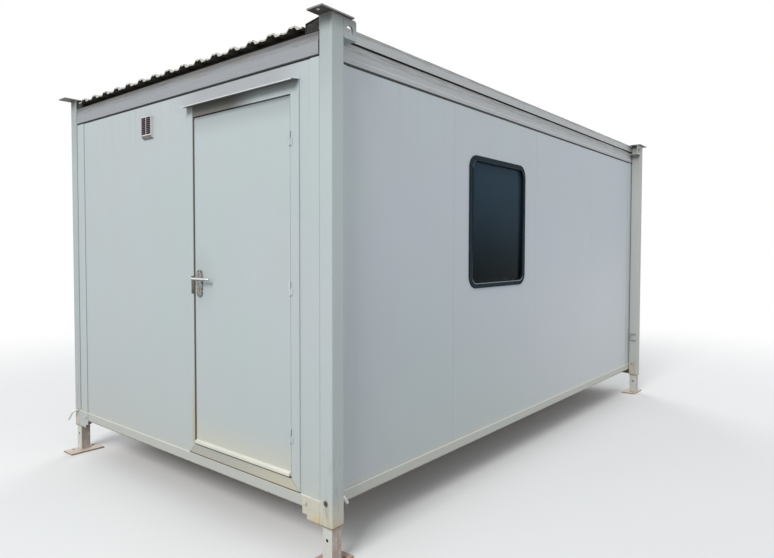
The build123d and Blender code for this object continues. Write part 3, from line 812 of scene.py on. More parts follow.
# %% [markdown]
# ## Lock and handle
# The lever and its plate are plated steel: the lever is rubbed bright by hands, and
# the plate has gone duller, with fine scratches. Metal takes its look from what it
# reflects, so the roughness changes more than the colour does.

# %% Handle steel
def plated_steel(name, colour, rough, dull):
    """Plating with scratches, tarnished in patches as far as dull says, with painted shade
    underneath.
    """
    skin = Skin(name, colour)
    cloud = skin.noise(60, 5.0, 0.7)
    scratch = skin.streaks((40, 900, 500), 1.0, 3.0)
    spots = skin.noise(240, 3.0).rise(0.68, 0.74)
    under = skin.facing("Z").rise(0.1, -0.5)
    skin.shade(0.85 + cloud * 0.25)
    tarnish = skin.noise(75, 3.0).rise(0.45, 0.6)
    skin.coat(tarnish * dull, (72, 68, 62))
    skin.coat(spots * 0.5, RUST_WASH)
    # Painted shade on the undersides.
    skin.coat(under * 0.8, (56, 56, 58))
    rough = rough + cloud * 0.15 + spots * 0.3
    return skin.finish(rough, skin.bump(scratch, 0.0001, 0.5), {"Metallic": 0.85})


dress(["door_handle"], plated_steel("handle_steel", (232, 233, 234), 0.22, 0.0))
plate_steel = plated_steel("lock_plate_steel", (160, 160, 158), 0.3, 0.85)
strike_steel = plated_steel("strike_plate_steel", (124, 118, 108), 0.5, 0.7)
dress(["door_lock_plate"], plate_steel)

# %% [markdown]
# ## Windows
# Each pane sits in a rubber gasket that has gone a little chalky. The glass is dark:
# it is tinted, the room behind it is unlit, and its upper half has a bluish painted reflection of
# the sky.
# Clear glass and a dark room would do the same, but a tinted pane that lets only a
# tenth of the light through keeps its look in any light.

# %% Rubber and glass
PANE_FOOT, PANE_TOP = 1.349, 2.224


def old_rubber(name, colour, bloom, above=1.0, rim=0.0):
    """Chalky rubber. above is how much of its colour it keeps higher up than the foot of
    the pane, the rest being painted shade, and rim says how dark the painted shade is on the faces
    round its edge."""
    skin = Skin(name, colour)
    chalk = skin.noise(30, 5.0, 0.7).rise(0.42, 0.68)
    skin.coat(chalk * bloom, (98, 106, 112))
    # Painted shade above the foot of the pane.
    high = skin.z.rise(PANE_FOOT + 0.018, PANE_FOOT + 0.05)
    skin.shade(1 - high * (1 - above))
    # Painted shade on the faces round the edge.
    edge = abs(skin.facing("X")).rise(0.8, 0.5)
    skin.coat(edge * rim, (16, 19, 25))
    grain = skin.bump(skin.noise(700, 2.0), 0.0002, 0.4)
    return skin.finish(0.6 + chalk * 0.2, grain, {"Specular IOR Level": 0.04})


def tinted_glass(name):
    skin = Skin(name, (10, 20, 22))
    sky_reflection_streaks = skin.streaks((3, 3, 1.2), 1.0, 4.0)
    upper = (skin.z + sky_reflection_streaks * 0.3).rise(PANE_FOOT + 0.1, PANE_TOP + 0.1)
    # Painted reflection of the sky, bluish on the upper half.
    skin.coat(upper, (44, 66, 82))
    dust = (skin.z + skin.noise(14, 4.0) * 0.05).rise(PANE_FOOT + 0.07, PANE_FOOT + 0.01)
    skin.coat(dust * 0.25, (110, 112, 106))
    waves = skin.bump(skin.noise(2.2, 1.0), 0.004, 0.2)
    clear = {"Specular IOR Level": 0.03, "Specular Tint": (0.6, 0.85, 1.0, 1.0), "Alpha": 0.9}
    return skin.finish(0.08 + dust * 0.4 + sky_reflection_streaks * 0.04, waves, clear)


# The gasket's bluish grey is partly a painted reflection of the sky.
gasket_rubber = old_rubber("gasket_rubber", (34, 47, 56), 0.15, rim=0.85)
# The filler strip is near white for a painted highlight along the foot of the pane.
filler_rubber = old_rubber("filler_strip_rubber", (228, 232, 235), 0.2, above=0.13)
dress(["window_gasket_right", "window_gasket_left"], gasket_rubber)
dress(["window_glass_right", "window_glass_left"], tinted_glass("window_glass"))

# %% [markdown]
# ## Roof
# The roof is thin ribbed steel. From the ground only its front edge shows: pale ribs
# against the sky and painted black shade under them. From above it is faded paint with dirt
# lying in the troughs and rust at the laps and screws.

# %% Roof sheet
RIB_TOP, SHEET_END = 2.7275, 2.454
TROUGH_TOP, TROUGH_FOOT = 2.722, 2.706


def roof_steel(name):
    """Faded paint with silt in the troughs, rust, and painted black shade on its underside."""
    skin = Skin(name, (214, 212, 202))
    y, z = skin.y, skin.z
    cloud = skin.noise(2.2, 5.0, 0.65)
    fine = skin.noise(40, 5.0, 0.7)
    run = skin.streaks((40, 1.5, 40), 1.0, 5.0, 0.7)
    skin.shade(0.88 + cloud * 0.18)
    trough = z.rise(TROUGH_TOP, TROUGH_FOOT)
    silt = trough * (cloud * 0.5 + run * 0.5).rise(0.36, 0.6)
    silt = silt * abs(y).rise(SHEET_END, SHEET_END - 0.01)
    skin.coat(silt * 0.8, (84, 80, 64))
    rust = (fine * 0.6 + run * 0.4).rise(0.6, 0.68)
    skin.coat(rust * 0.5, RUST)
    behind_lip = abs(y).rise(SHEET_END + 0.0005, SHEET_END + 0.0002)
    # Painted shade on the faces of the sheet that look down, short of the lips.
    under = skin.facing("Z").rise(0.1, -0.1) * behind_lip
    skin.coat(under * 0.95, (44, 38, 33))
    cut = abs(y).rise(SHEET_END - 0.0012, SHEET_END - 0.0008)
    cut = cut * skin.square_to("Y") * behind_lip
    skin.coat(cut * 0.9, (92, 74, 58))
    skin.shade(0.72 + behind_lip * 0.28)
    return skin.finish(0.55 + silt * 0.3, skin.bump(fine, 0.001, 0.6))


roof_paint = roof_steel("roof_sheet_steel")
dress(["roof_sheet"], roof_paint)

# %% [markdown]
# ## Vent
# The little vent by the roof is a pale box with two columns of slots. Behind the
# slots lies a red-brown fly mesh. All that is deeper than the front is painted nearly
# black as shade, with a maroon tint for the mesh, and the blades are darkened towards maroon.

# %% Vent paint
VENT_FRONT, VENT_BACK, VENT_MIDDLE = -2.450, -2.432, -0.2825
VENT_SLOT_LOW, VENT_SLOT_HIGH, VENT_SLOT_REACH = 2.353, 2.469, 0.0575


def vent_wear(skin):
    """Painted shade, nearly black with a maroon mesh tint, behind the slots, darkened blades, and
    painted shade underneath.
    """
    aside = abs(skin.x - VENT_MIDDLE)
    above = skin.z.rise(VENT_SLOT_LOW, VENT_SLOT_LOW + 0.002)
    inside = skin.y.rise(VENT_FRONT + 0.0006, VENT_FRONT + 0.002) * above
    between = aside.rise(VENT_SLOT_REACH, VENT_SLOT_REACH - 0.0015)
    inside = inside * skin.y.rise(VENT_BACK, VENT_BACK - 0.002) * between
    # Painted shade in the slots, nearly black with a maroon tint for the mesh.
    mesh = skin.noise(900, 1.0)
    skin.coat(inside, skin.blend(mesh, (14, 4, 9), (36, 14, 24)))
    # The blades are darkened towards maroon, deepening the painted shade of the slots.
    blades = between * aside.rise(0.0025, 0.0035) * (1 - inside) * above
    blades = blades * skin.z.rise(VENT_SLOT_HIGH, VENT_SLOT_HIGH - 0.002)
    skin.coat(blades * 0.8, (84, 58, 70))
    # Painted shade on the faces that look down.
    under = skin.facing("Z").rise(-0.25, -0.6) * (1 - inside)
    skin.coat(under * 0.85, (96, 92, 84))


vent_paint = site_paint(
    "vent_paint", (212, 210, 212), cream=0.3, rust=0.2, gloss=0.08, extra=vent_wear
)
dress(["vent_cowl"], vent_paint)

# %% [markdown]
# ## Inside and underneath
# Through the door and windows one sees a plain room: a white board ceiling, a worn
# brown floor, timber joists above and primed steel bearers below. These are seldom
# seen, and each still gets a grain of its own. The edges of the ceiling and the ends
# of the joists stand in the open gaps of the frame, in shade, and are painted black for it.

# %% Room finishes
GRAIN = {"x": (0.8, 14, 14), "y": (14, 0.8, 14)}


def board(name, colour, axis, rings, rough, unshaded_width, unshaded_length):
    """Timber or board with grain along one axis, painted black as shade outside an unshaded width
    and length.
    """
    skin = Skin(name, colour)
    fibre = skin.streaks(GRAIN[axis], rings, 6.0, 0.7)
    patch = skin.noise(3, 4.0)
    skin.shade(0.75 + fibre * 0.35 + patch * 0.15)
    past_side = abs(skin.x).rise(unshaded_width, unshaded_width + 0.004)
    past_end = abs(skin.y).rise(unshaded_length, unshaded_length + 0.004)
    # Painted shade, nearly black, outside the unshaded width and length.
    skin.coat((past_side | past_end) * 0.95, (40, 39, 37))
    return skin.finish(rough, skin.bump(fibre, 0.0008, 0.5))


def vinyl_floor(name):
    """Brown sheet floor, scuffed most by the door."""
    skin = Skin(name, (96, 76, 58))
    fleck = skin.noise(160, 4.0, 0.8)
    wear = skin.noise(3.2, 5.0, 0.6)
    path = (wear + skin.y.rise(0.5, -2.3) * 0.25).rise(0.5, 0.75)
    skin.coat(fleck, (136, 114, 92))
    skin.coat(path * 0.5, (150, 140, 124))
    return skin.finish(0.45 + path * 0.25, skin.bump(fleck, 0.0002, 0.4))


dress(["floor_deck"], vinyl_floor("vinyl_floor"))
dress(["ceiling_panel"], board("ceiling_board", (206, 206, 200), "y", 1.0, 0.6, 1.322, 2.409))
dress(["roof_joists"], board("joist_timber", (164, 134, 96), "x", 2.0, 0.75, 1.2, 2.34))
dress(["floor_bearers"], worn_steel("bearer_primer", (120, 122, 120), 0.4))

# %% [markdown]
# ## Small pieces
# All the fastenings of a kind are built in one bmesh, each at its own place, and become
# one piece. A bolt is a washer under a six-sided head: a cylinder with sixteen sides or
# with six gives both, and a bevel takes the hard edge off. A rivet or a round screw head
# is half of a flattened ball.

# %% Meshes for fastenings
SMOOTH_BELOW = math.radians(40)
DOME_FLATNESS = 0.55


def turned_to(normal):
    """The turn that takes +Z to a direction."""
    return Vector((0, 0, 1)).rotation_difference(Vector(normal)).to_matrix().to_4x4()


def add_stud(work, place, normal, radius, height, sides, twist=0.0):
    """Adds a disc or a prism that stands on a face."""
    lift = Matrix.Translation((0, 0, height / 2))
    matrix = Matrix.Translation(place) @ turned_to(normal) @ Matrix.Rotation(twist, 4, "Z") @ lift
    sizes = {"radius1": radius, "radius2": radius, "depth": height}
    bmesh.ops.create_cone(work, cap_ends=True, segments=sides, matrix=matrix, **sizes)


def add_dome(work, place, normal, radius):
    """Adds a flattened ball that stands half out of a face."""
    squash = Matrix.Diagonal((1, 1, DOME_FLATNESS, 1))
    matrix = Matrix.Translation(place) @ turned_to(normal) @ squash
    bmesh.ops.create_uvsphere(work, u_segments=10, v_segments=6, radius=radius, matrix=matrix)


def add_bolt(work, place, normal, radius):
    """Adds a washer and a six-sided head, turned by chance."""
    washer, head = radius * 0.25, radius * 0.8
    seat = Vector(place) + Vector(normal) * washer
    add_stud(work, place, normal, radius * 1.5, washer, 16)
    add_stud(work, seat, normal, radius, head, 6, random.uniform(0, 1))


def add_box(work, low, high):
    """Adds a box between two corners."""
    low, high = Vector(low), Vector(high)
    size = high - low
    matrix = Matrix.Translation((low + high) / 2) @ Matrix.Diagonal((size.x, size.y, size.z, 1))
    bmesh.ops.create_cube(work, size=1.0, matrix=matrix)


# %% From mesh to piece
def soften(work, width):
    """Bevels every edge sharper than about 40 degrees."""
    work.normal_update()
    sharp = [e for e in work.edges if len(e.link_faces) == 2 and e.calc_face_angle() > 0.7]
    bmesh.ops.bevel(
        work, geom=sharp, offset=width, segments=2, profile=0.5, affect="EDGES", material=-1
    )


def to_piece(work, name, material, body="cabin"):
    """Ends a bmesh as an object that rides on a body."""
    bmesh.ops.recalc_face_normals(work, faces=work.faces)
    mesh = bpy.data.meshes.new(name)
    work.to_mesh(mesh)
    work.free()
    for face in mesh.polygons:
        face.use_smooth = True
    mesh.set_sharp_from_angle(angle=SMOOTH_BELOW)
    mesh.materials.append(material)
    piece = bpy.data.objects.new(name, mesh)
    bpy.context.scene.collection.objects.link(piece)
    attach(piece, body)
    print(name, len(mesh.polygons), "faces")


SIGNS = [(1, -1), (-1, -1), (1, 1), (-1, 1)]
random.seed(4)

# %% [markdown]
# Each gusset has one bolt through the end rail, painted over with the rest. A bump in
# the paint would do from afar, but a real head also catches the light from near by.

# %% Gusset bolts
END_FACE = 2.438
BOLT_X, BOLT_Z, BOLT_RADIUS = 1.246, 0.288, 0.0095

work = bmesh.new()
for side_x, side_y in SIGNS:
    add_bolt(work, (side_x * BOLT_X, side_y * END_FACE, BOLT_Z), (0, side_y, 0), BOLT_RADIUS)
soften(work, 0.0008)
to_piece(work, "gusset_bolts", gusset_paint)

# %% [markdown]
# Welds hold the gussets, base plates, stacking plates and lifting eyes. A hand-laid
# weld is a row of overlapping scales, so it is made of balls of uneven size from one
# point to another. They fill the grooves between the parts, and paint runs over them.

# %% Weld helpers
SCALE_PITCH, SCALE_SIZES = 1.2, (0.88, 1.08)
CORNER_REACH = 0.88


def add_weld(work, start, end, radius):
    """A row of overlapping scales from one point to another."""
    start, end = Vector(start), Vector(end)
    count = round((end - start).length / (radius * SCALE_PITCH))
    for index in range(count + 1):
        place = Matrix.Translation(start.lerp(end, index / count))
        size = radius * random.uniform(*SCALE_SIZES)
        bmesh.ops.create_icosphere(work, subdivisions=2, radius=size, matrix=place)


def add_weld_round(work, centre_x, centre_y, half_size, z, radius):
    """Four welds round a square tube."""
    corners = [(-1, -1), (1, -1), (1, 1), (-1, 1), (-1, -1)]
    reach = half_size * CORNER_REACH
    for (x0, y0), (x1, y1) in zip(corners, corners[1:]):
        out = Vector(((x0 + x1) / 2, (y0 + y1) / 2, 0)) * (half_size - reach)
        start = Vector((centre_x + x0 * reach, centre_y + y0 * reach, z))
        end = Vector((centre_x + x1 * reach, centre_y + y1 * reach, z))
        add_weld(work, start + out, end + out, radius)


# %% Welds
POST_HALF, LEG_HALF = 0.0445, 0.035
SIDE_FACE, HALF_WIDTH = 1.347, 1.436
EYE_LOW, EYE_Y = 2.652, 2.349

work = bmesh.new()
for side_x, side_y in SIGNS:
    x, y = side_x * (SIDE_FACE + 0.0035), side_y * (END_FACE - 0.0045)
    add_weld(work, (x, y, GUSSET_LOW + 0.003), (x, y, GUSSET_HIGH - 0.002), 0.0055)
to_piece(work, "gusset_welds", gusset_paint)

work = bmesh.new()
for side_x, side_y in SIGNS:
    add_weld_round(work, side_x * POST_X, side_y * POST_Y, POST_HALF, POST_TOP - 0.001, 0.0035)
    x, y = side_x * (HALF_WIDTH - 0.0035), side_y * (EYE_Y + 0.002)
    add_weld(work, (x, y, EYE_LOW), (x, y, POST_TOP - 0.004), 0.0045)
to_piece(work, "head_welds", post_paint)

work = bmesh.new()
for side_x, side_y in SIGNS:
    add_weld_round(work, side_x * POST_X, side_y * POST_Y, LEG_HALF, PLATE_TOP + 0.001, 0.0045)
to_piece(work, "leg_welds", leg_paint)

# %% [markdown]
# Pop rivets hold the corner strips, and round-headed screws hold the drip over the
# door and the hinges. They are low domes, painted in.

# %% Rivets and screws
RIVET_RADIUS, STRIP_FACE, SIDE_STRIP_FACE = 0.0032, 2.432, 1.345
RIVET_X, SIDE_RIVET_Y = {1: 1.300, -1: -1.250}, 2.252
RIVET_ROWS, RIVET_FIRST, RIVET_PITCH = 6, 0.46, 0.4
DRIP_SCREWS, DRIP_MARGIN, DRIP_SCREW_RADIUS = 6, 0.04, 0.0035
UPSTAND_FACE, UPSTAND_Z = -2.430, 2.474
HINGE_HEIGHTS = (0.613, 1.392, 2.171)
HINGE_X, HINGE_FLAG_MIDDLE, HINGE_SCREW_RADIUS = 1.132, 0.0125, 0.0028
OUTWARD = (0, -1, 0)


def add_hinge_screws(work, side, face, lifts):
    """Two screws in each hinge flag on one side of the hinge pins."""
    for height in HINGE_HEIGHTS:
        for lift in lifts:
            place = (HINGE_X + side * HINGE_FLAG_MIDDLE, face, height + lift)
            add_dome(work, place, OUTWARD, HINGE_SCREW_RADIUS)


work = bmesh.new()
for row in range(RIVET_ROWS):
    z = RIVET_FIRST + row * RIVET_PITCH
    for side_x, side_y in SIGNS:
        side_place = (side_x * SIDE_STRIP_FACE, side_y * SIDE_RIVET_Y, z)
        add_dome(work, (RIVET_X[side_x], side_y * STRIP_FACE, z), (0, side_y, 0), RIVET_RADIUS)
        add_dome(work, side_place, (side_x, 0, 0), RIVET_RADIUS)
for step in range(DRIP_SCREWS):
    span = FRAME_RIGHT - FRAME_LEFT - 2 * DRIP_MARGIN
    x = FRAME_LEFT + DRIP_MARGIN + step * span / (DRIP_SCREWS - 1)
    add_dome(work, (x, UPSTAND_FACE, UPSTAND_Z), OUTWARD, DRIP_SCREW_RADIUS)
add_hinge_screws(work, 1, -2.440, (-0.027, -0.009))
to_piece(work, "cabin_rivets", strip_paint)

work = bmesh.new()
add_hinge_screws(work, -1, -2.438, (0.010, 0.028))
to_piece(work, "hinge_screws", strip_paint, "door")

# %% [markdown]
# The lock has a cylinder in the profile hole of its plate, with a slot for the key,
# and two plated screws. The slot is too fine to model, so the material draws it.

# %% Lock cylinder and screws
PLATE_FACE = -2.442
KEY_Z = HANDLE_Z - 0.064
KEY_SLOT_WIDTH, KEY_SLOT_HEIGHT, PLUG_RADIUS = 0.0026, 0.011, 0.0062
LOCK_BACK, LOCK_DEPTH = -2.436, 0.0085
BARREL_RADIUS = 0.0080
TAIL_RADIUS, TAIL_DROP = 0.0046, 0.0195
STEM_WIDTH, STEM_HEIGHT, STEM_DROP = 0.0092, 0.017, 0.0110


def cylinder_brass(name):
    skin = Skin(name, (168, 164, 152))
    x, z = skin.x, skin.z
    cloud = skin.noise(150, 4.0, 0.7)
    skin.shade(0.8 + cloud * 0.3)
    slot = x.near(HANDLE_X, KEY_SLOT_WIDTH) * z.near(KEY_Z, KEY_SLOT_HEIGHT)
    plug = (((x - HANDLE_X) ** 2 + (z - KEY_Z) ** 2) ** 0.5).near(PLUG_RADIUS, 0.0008)
    dark = (slot | plug * 0.6).rise(0.1, 0.4)
    skin.coat(dark, (30, 28, 26))
    return skin.finish(0.3 + cloud * 0.15, skin.bump(1 - dark, 0.0004), {"Metallic": 0.8})


work = bmesh.new()
add_stud(work, (HANDLE_X, LOCK_BACK, KEY_Z), OUTWARD, BARREL_RADIUS, LOCK_DEPTH, 24)
add_stud(work, (HANDLE_X, LOCK_BACK, KEY_Z - TAIL_DROP), OUTWARD, TAIL_RADIUS, LOCK_DEPTH, 16)
stem = Matrix.Translation((HANDLE_X, LOCK_BACK - LOCK_DEPTH / 2, KEY_Z - STEM_DROP))
stem = stem @ Matrix.Diagonal((STEM_WIDTH, LOCK_DEPTH, STEM_HEIGHT, 1))
bmesh.ops.create_cube(work, size=1.0, matrix=stem)
soften(work, 0.0004)
to_piece(work, "lock_cylinder", cylinder_brass("lock_cylinder_metal"), "door")

work = bmesh.new()
for lift, radius in ((0.038, 0.0042), (-0.099, 0.0042), (-0.044, 0.0050)):
    add_dome(work, (HANDLE_X, PLATE_FACE, HANDLE_Z + lift), OUTWARD, radius)
to_piece(work, "lock_screws", plate_steel, "door")

# %% [markdown]
# A strike plate is screwed to the frame beside the lock. A pale foam strip closes the
# gap on the hinge side and hides the shade in it, so that gap doesn't look dark. Both
# are boxes with softened edges.

# %% Strike plate and gap seal
FRAME_FACE = -2.436
STRIKE_LEFT, STRIKE_RIGHT, STRIKE_FACE = 0.2185, 0.2425, FRAME_FACE - 0.0022
STRIKE_LOW, STRIKE_HIGH = 1.322, 1.432
SEAL_LOW, SEAL_HIGH = (1.1298, -2.4334, LEAF_FOOT), (1.1350, -2.4000, LEAF_TOP)

work = bmesh.new()
add_box(work, (STRIKE_LEFT, STRIKE_FACE, STRIKE_LOW), (STRIKE_RIGHT, FRAME_FACE, STRIKE_HIGH))
soften(work, 0.0008)
for z in (STRIKE_LOW + 0.012, STRIKE_HIGH - 0.012):
    middle = ((STRIKE_LEFT + STRIKE_RIGHT) / 2, STRIKE_FACE, z)
    add_dome(work, middle, OUTWARD, 0.0035)
to_piece(work, "strike_plate", strike_steel)

work = bmesh.new()
add_box(work, SEAL_LOW, SEAL_HIGH)
soften(work, 0.0006)
to_piece(work, "gap_seal", strip_paint)

# %% [markdown]
# A thinner strip is pushed into the gasket to lock it. Its near-white colour is a painted
# highlight, a lighter line just outside the glass at the foot of the pane. It starts as a circle
# of edges pulled apart into a rounded rectangle. The face inside is inset to a ring, and the ring
# is given a thickness.

# %% Filler strips
WINDOW_Y = (-1.027, -0.214)
WINDOW_Z = (1.328, 2.245)
FILLER_FACE, FILLER_GAUGE = 1.350, 0.002
FILLER_INSET, FILLER_WIDTH = 0.0322, 0.0055
FILLER_RADIUS = 0.090 - FILLER_INSET
CIRCLE_POINTS = 64


def spread(value, span):
    """Moves a point of the circle to its quarter of the rounded rectangle."""
    inset = FILLER_INSET + FILLER_RADIUS
    return value + (span[1] - inset if value > 0 else span[0] + inset)


def filler_strip(side, name):
    work = bmesh.new()
    turn = Matrix.Rotation(math.pi / CIRCLE_POINTS, 4, "Z")
    sizes = {"segments": CIRCLE_POINTS, "radius": FILLER_RADIUS}
    made = bmesh.ops.create_circle(work, cap_ends=True, matrix=turn, **sizes)
    for vert in made["verts"]:
        y, z = spread(vert.co.x, WINDOW_Y), spread(vert.co.y, WINDOW_Z)
        vert.co = Vector((side * FILLER_FACE, y, z))
    middle = work.faces[:]
    bmesh.ops.inset_region(
        work, faces=middle, thickness=FILLER_WIDTH, use_boundary=True, use_even_offset=True
    )
    bmesh.ops.delete(work, geom=middle, context="FACES_ONLY")
    bmesh.ops.solidify(work, geom=work.faces[:], thickness=FILLER_GAUGE)
    soften(work, 0.0006)
    to_piece(work, name, filler_rubber)


filler_strip(1, "filler_strip_right")
filler_strip(-1, "filler_strip_left")

# %% [markdown]
# The roof sheet is screwed to each joist beside the crest of every rib, and the screws
# have rusted. A loop over the ribs and the joists places them all.

# %% Roof screws
RIB_COUNT, RIB_PITCH = 15, 0.167
RIBS = [(rib - (RIB_COUNT - 1) / 2) * RIB_PITCH for rib in range(RIB_COUNT)]
JOIST_PLACES = (-2.359, -1.1795, 0.0, 1.1795, 2.359)
SCREW_SHIFT, SCREW_RADIUS = 0.015, 0.0055

work = bmesh.new()
for rib in RIBS:
    for y in JOIST_PLACES:
        add_bolt(work, (rib + SCREW_SHIFT, y, RIB_TOP), (0, 0, 1), SCREW_RADIUS)
to_piece(work, "roof_screws", stacking_steel)

# %% [markdown]
# The ends of the roof sheet are turned down a little, and this thin pale lip catches the
# light from the front. A line of points follows the ribs, is extruded down and given a
# thickness.

# %% Turned-down sheet ends
RIB_LINE = ((-40, 0), (-23, 18), (-7, 18), (0, 13), (7, 18), (23, 18), (40, 0))
SWAGE_LINE = ((-13, 0), (-6.5, 4), (6.5, 4), (13, 0))
SHEET_HALF, SHEET_SEAT = 1.247, 2.7095
LIP_OUT, LIP_FLARE, LIP_DROP, LIP_GAUGE = 0.001, 0.002, 0.009, 0.0015


def fold_points(centre, line):
    """The points of a fold, whose line is in millimetres."""
    return [(centre + x / 1000, SHEET_SEAT + z / 1000) for x, z in line]


def sheet_line():
    """The upper edge of the sheet's end as (x, z), from one side of the roof to the other."""
    points = [(-SHEET_HALF, SHEET_SEAT)]
    for rib in RIBS[:-1]:
        points += fold_points(rib, RIB_LINE)
        points += fold_points(rib + RIB_PITCH / 2, SWAGE_LINE)
    return points + fold_points(RIBS[-1], RIB_LINE) + [(SHEET_HALF, SHEET_SEAT)]


work = bmesh.new()
for side_y in (-1, 1):
    y = side_y * (SHEET_END + LIP_OUT)
    row = [work.verts.new((x, y, z)) for x, z in sheet_line()]
    edges = [work.edges.new(pair) for pair in zip(row, row[1:])]
    made = bmesh.ops.extrude_edge_only(work, edges=edges)
    lower = [item for item in made["geom"] if isinstance(item, bmesh.types.BMVert)]
    bmesh.ops.translate(work, verts=lower, vec=(0, side_y * LIP_FLARE, -LIP_DROP))
bmesh.ops.recalc_face_normals(work, faces=work.faces)
bmesh.ops.solidify(work, geom=work.faces[:], thickness=LIP_GAUGE)
to_piece(work, "sheet_end_lips", roof_paint)

# %% [markdown]
# Leaves and grit have rotted to a dark crust in the open ends of the edge caps. Each is
# a box cut into small faces, whose corners are pushed about by a smooth noise, under a
# top that follows the slope of the cap.

# %% Crust in the cap ends
CRUST_INNER, CRUST_OUTER = 1.251, 1.342
CRUST_FOOT, CRUST_TOP, CRUST_SLOPE = 2.681, 2.7215, 0.15
CRUST_END, CRUST_DEPTH = 2.430, 0.030
CRUST_CUTS, LUMPS_PER_METRE, LUMP_HEIGHT = 6, 70, 0.003


def old_crust(name):
    skin = Skin(name, (24, 24, 22))
    blot = skin.noise(60, 5.0, 0.7)
    fine = skin.noise(300, 4.0, 0.7)
    skin.coat(blot.rise(0.4, 0.65), (56, 58, 48))
    skin.coat(fine.rise(0.6, 0.72) * 0.35, (120, 120, 108))
    return skin.finish(0.9, skin.bump(fine, 0.002, 0.8))


def add_crust(work, side_x, side_y):
    """A lumpy box in one end of one cap."""
    start = len(work.verts)
    low = (side_x * CRUST_INNER, side_y * (CRUST_END - CRUST_DEPTH), CRUST_FOOT)
    high = (side_x * CRUST_OUTER, side_y * CRUST_END, CRUST_TOP)
    add_box(work, low, high)
    work.verts.ensure_lookup_table()
    edges = {edge for vert in work.verts[start:] for edge in vert.link_edges}
    bmesh.ops.subdivide_edges(work, edges=list(edges), cuts=CRUST_CUTS, use_grid_fill=True)
    work.verts.ensure_lookup_table()
    for vert in work.verts[start:]:
        across = (abs(vert.co.x) - CRUST_INNER) * CRUST_SLOPE
        up = (vert.co.z - CRUST_FOOT) / (CRUST_TOP - CRUST_FOOT)
        shift = lumps.noise(vert.co * LUMPS_PER_METRE) * LUMP_HEIGHT
        vert.co.z += up * (across + shift)
        vert.co.y -= side_y * abs(shift)


work = bmesh.new()
for side_x, side_y in SIGNS:
    add_crust(work, side_x, side_y)
to_piece(work, "cap_end_crust", old_crust("old_crust"))

# %% [markdown]
# ## Camera
# The camera stands where the picture's did, worked out from the cabin's own corners.
# Its place, turn and lens are plain numbers, and a small shift sets the frame.

# %% Camera
IMAGE_WIDTH = 774
FOCAL_PIXELS = 600.7
SHIFT_PIXELS = (-5.94, -9.41)
SENSOR = 36.0
CAMERA_PLACE = (3.520, -4.529, 1.595)
YAW, PITCH, ROLL = (math.radians(angle) for angle in (-39.0857, -1.8994, 0.1265))

over_ground = math.cos(PITCH)
look = Vector((math.sin(YAW) * over_ground, math.cos(YAW) * over_ground, math.sin(PITCH)))
level = look.cross(Vector((0, 0, 1))).normalized()
rightward = level * math.cos(ROLL) + level.cross(look) * math.sin(ROLL)
upward = rightward.cross(look)

camera_data = bpy.data.cameras.new("camera")
camera_data.sensor_width = SENSOR
camera_data.lens = FOCAL_PIXELS * SENSOR / IMAGE_WIDTH
camera_data.shift_x, camera_data.shift_y = (shift / IMAGE_WIDTH for shift in SHIFT_PIXELS)
camera = bpy.data.objects.new("camera", camera_data)
camera.matrix_world = Matrix((rightward, upward, -look)).transposed().to_4x4()
camera.location = CAMERA_PLACE
bpy.context.scene.collection.objects.link(camera)
bpy.context.scene.camera = camera
print("lens", round(camera_data.lens, 2), "mm")

# %% [markdown]
# ## Studio
# A bright overcast day is one broad high light and a soft even sky. The large lamp
# stands a little to the right of the door end, so the end is the brighter side and the
# drip over the door throws its shadow. Two weak lamps light the long side and the far
# corner, so that no side falls into the dark.
# To the camera, to metal and to glass the world is plain white, and the floor is pale
# and fades into it. As a source of light both are dimmer, so the underside stays dark.

# %% World
SKY_LIGHT = 0.57
SKY_COLOUR, WHITE = (0.93, 0.965, 1.0, 1.0), (1.0, 1.0, 1.0, 1.0)


def seen_directly(graph):
    """1 where the camera, metal or glass looks at something, 0 where it only gives light."""
    rays = graph.add("LightPath", out="Is Camera Ray")
    return rays | rays.beside("Is Glossy Ray") | rays.beside("Is Transmission Ray")


def plain_world():
    graph = Graph("soft_sky", "worlds")
    bpy.context.scene.world = graph.owner
    seen = seen_directly(graph)
    colour = graph.blend(seen, SKY_COLOUR, WHITE)
    strength = SKY_LIGHT + seen * (1 - SKY_LIGHT)
    sky = graph.add("Background", inputs={"Color": colour, "Strength": strength})
    graph.add("OutputWorld", inputs={"Surface": sky})


plain_world()
print("sky gives", SKY_LIGHT, "as light")

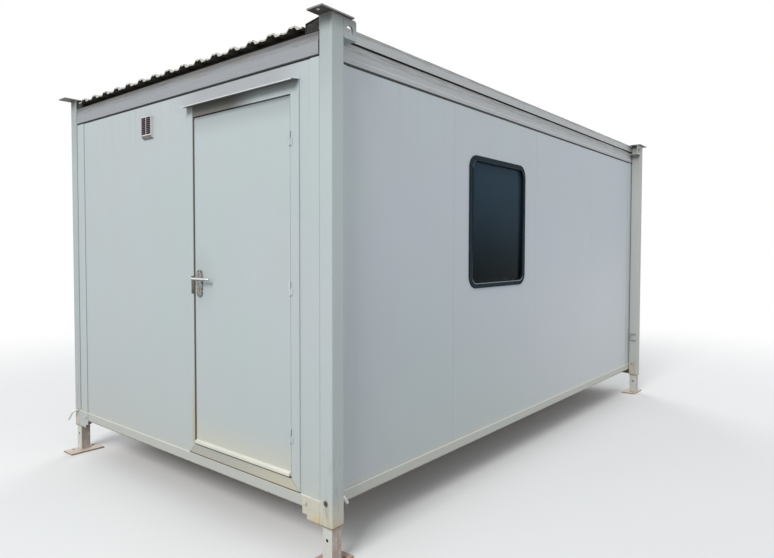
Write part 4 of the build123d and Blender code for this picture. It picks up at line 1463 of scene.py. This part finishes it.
# %% Floor
FLOOR_SIZE, FLOOR_Z = 60.0, -0.001
FADE_START, FADE_END = 3.4, 9.0
PALE_FLOOR = (0.88, 0.88, 0.88, 1.0)
DIM_FLOOR = (0.40, 0.40, 0.39, 1.0)


def studio_floor():
    skin = Skin("studio_floor", DIM_FLOOR)
    grain = skin.noise(0.6, 3.0)
    seen = seen_directly(skin)
    skin.coat(seen, PALE_FLOOR)
    skin.shade(0.98 + grain * 0.04)
    ground = skin.add("BsdfDiffuse", inputs={"Color": skin.colour})
    white = skin.add("Emission", inputs={"Color": WHITE, "Strength": 1.0})
    distance = skin.add("VectorMath", {"operation": "LENGTH"}, {0: skin.spot}, out="Value")
    fade = distance.rise(FADE_START, FADE_END) * seen
    surface = skin.add("MixShader", inputs={0: fade, 1: ground, 2: white})
    skin.add("OutputMaterial", inputs={"Surface": surface})

    work = bmesh.new()
    bmesh.ops.create_grid(work, x_segments=1, y_segments=1, size=FLOOR_SIZE)
    mesh = bpy.data.meshes.new("studio_floor")
    work.to_mesh(mesh)
    work.free()
    mesh.materials.append(skin.owner)
    floor = bpy.data.objects.new("studio_floor", mesh)
    floor.location.z = FLOOR_Z
    bpy.context.scene.collection.objects.link(floor)
    floor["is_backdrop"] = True


studio_floor()
print("floor is plain white beyond", FADE_END, "m")

# %% Lamps
WARM = (1.0, 0.985, 0.965)


def soft_lamp(name, place, target, size, power):
    lamp = bpy.data.lights.new(name, "AREA")
    lamp.shape = "SQUARE"
    lamp.size = size
    lamp.energy = power
    lamp.color = WARM
    light = bpy.data.objects.new(name, lamp)
    light.location = place
    light.rotation_euler = (Vector(target) - Vector(place)).to_track_quat("-Z", "Y").to_euler()
    bpy.context.scene.collection.objects.link(light)
    print(name, power, "W")


soft_lamp("door_end_lamp", (4.4, -16.0, 12.0), (0, -2.4, 1.3), 7.0, 2180)
soft_lamp("long_side_lamp", (11.0, 6.5, 3.4), (1.4, 1.4, 0.9), 6.0, 310)
soft_lamp("far_end_fill", (-9.0, 10.0, 7.0), (-0.5, 1.5, 1.2), 7.0, 620)
bpy.context.scene.view_settings.view_transform = "Standard"

# %% Sizes and the end
dressed_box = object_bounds()
show_box("dressed from", dressed_box)
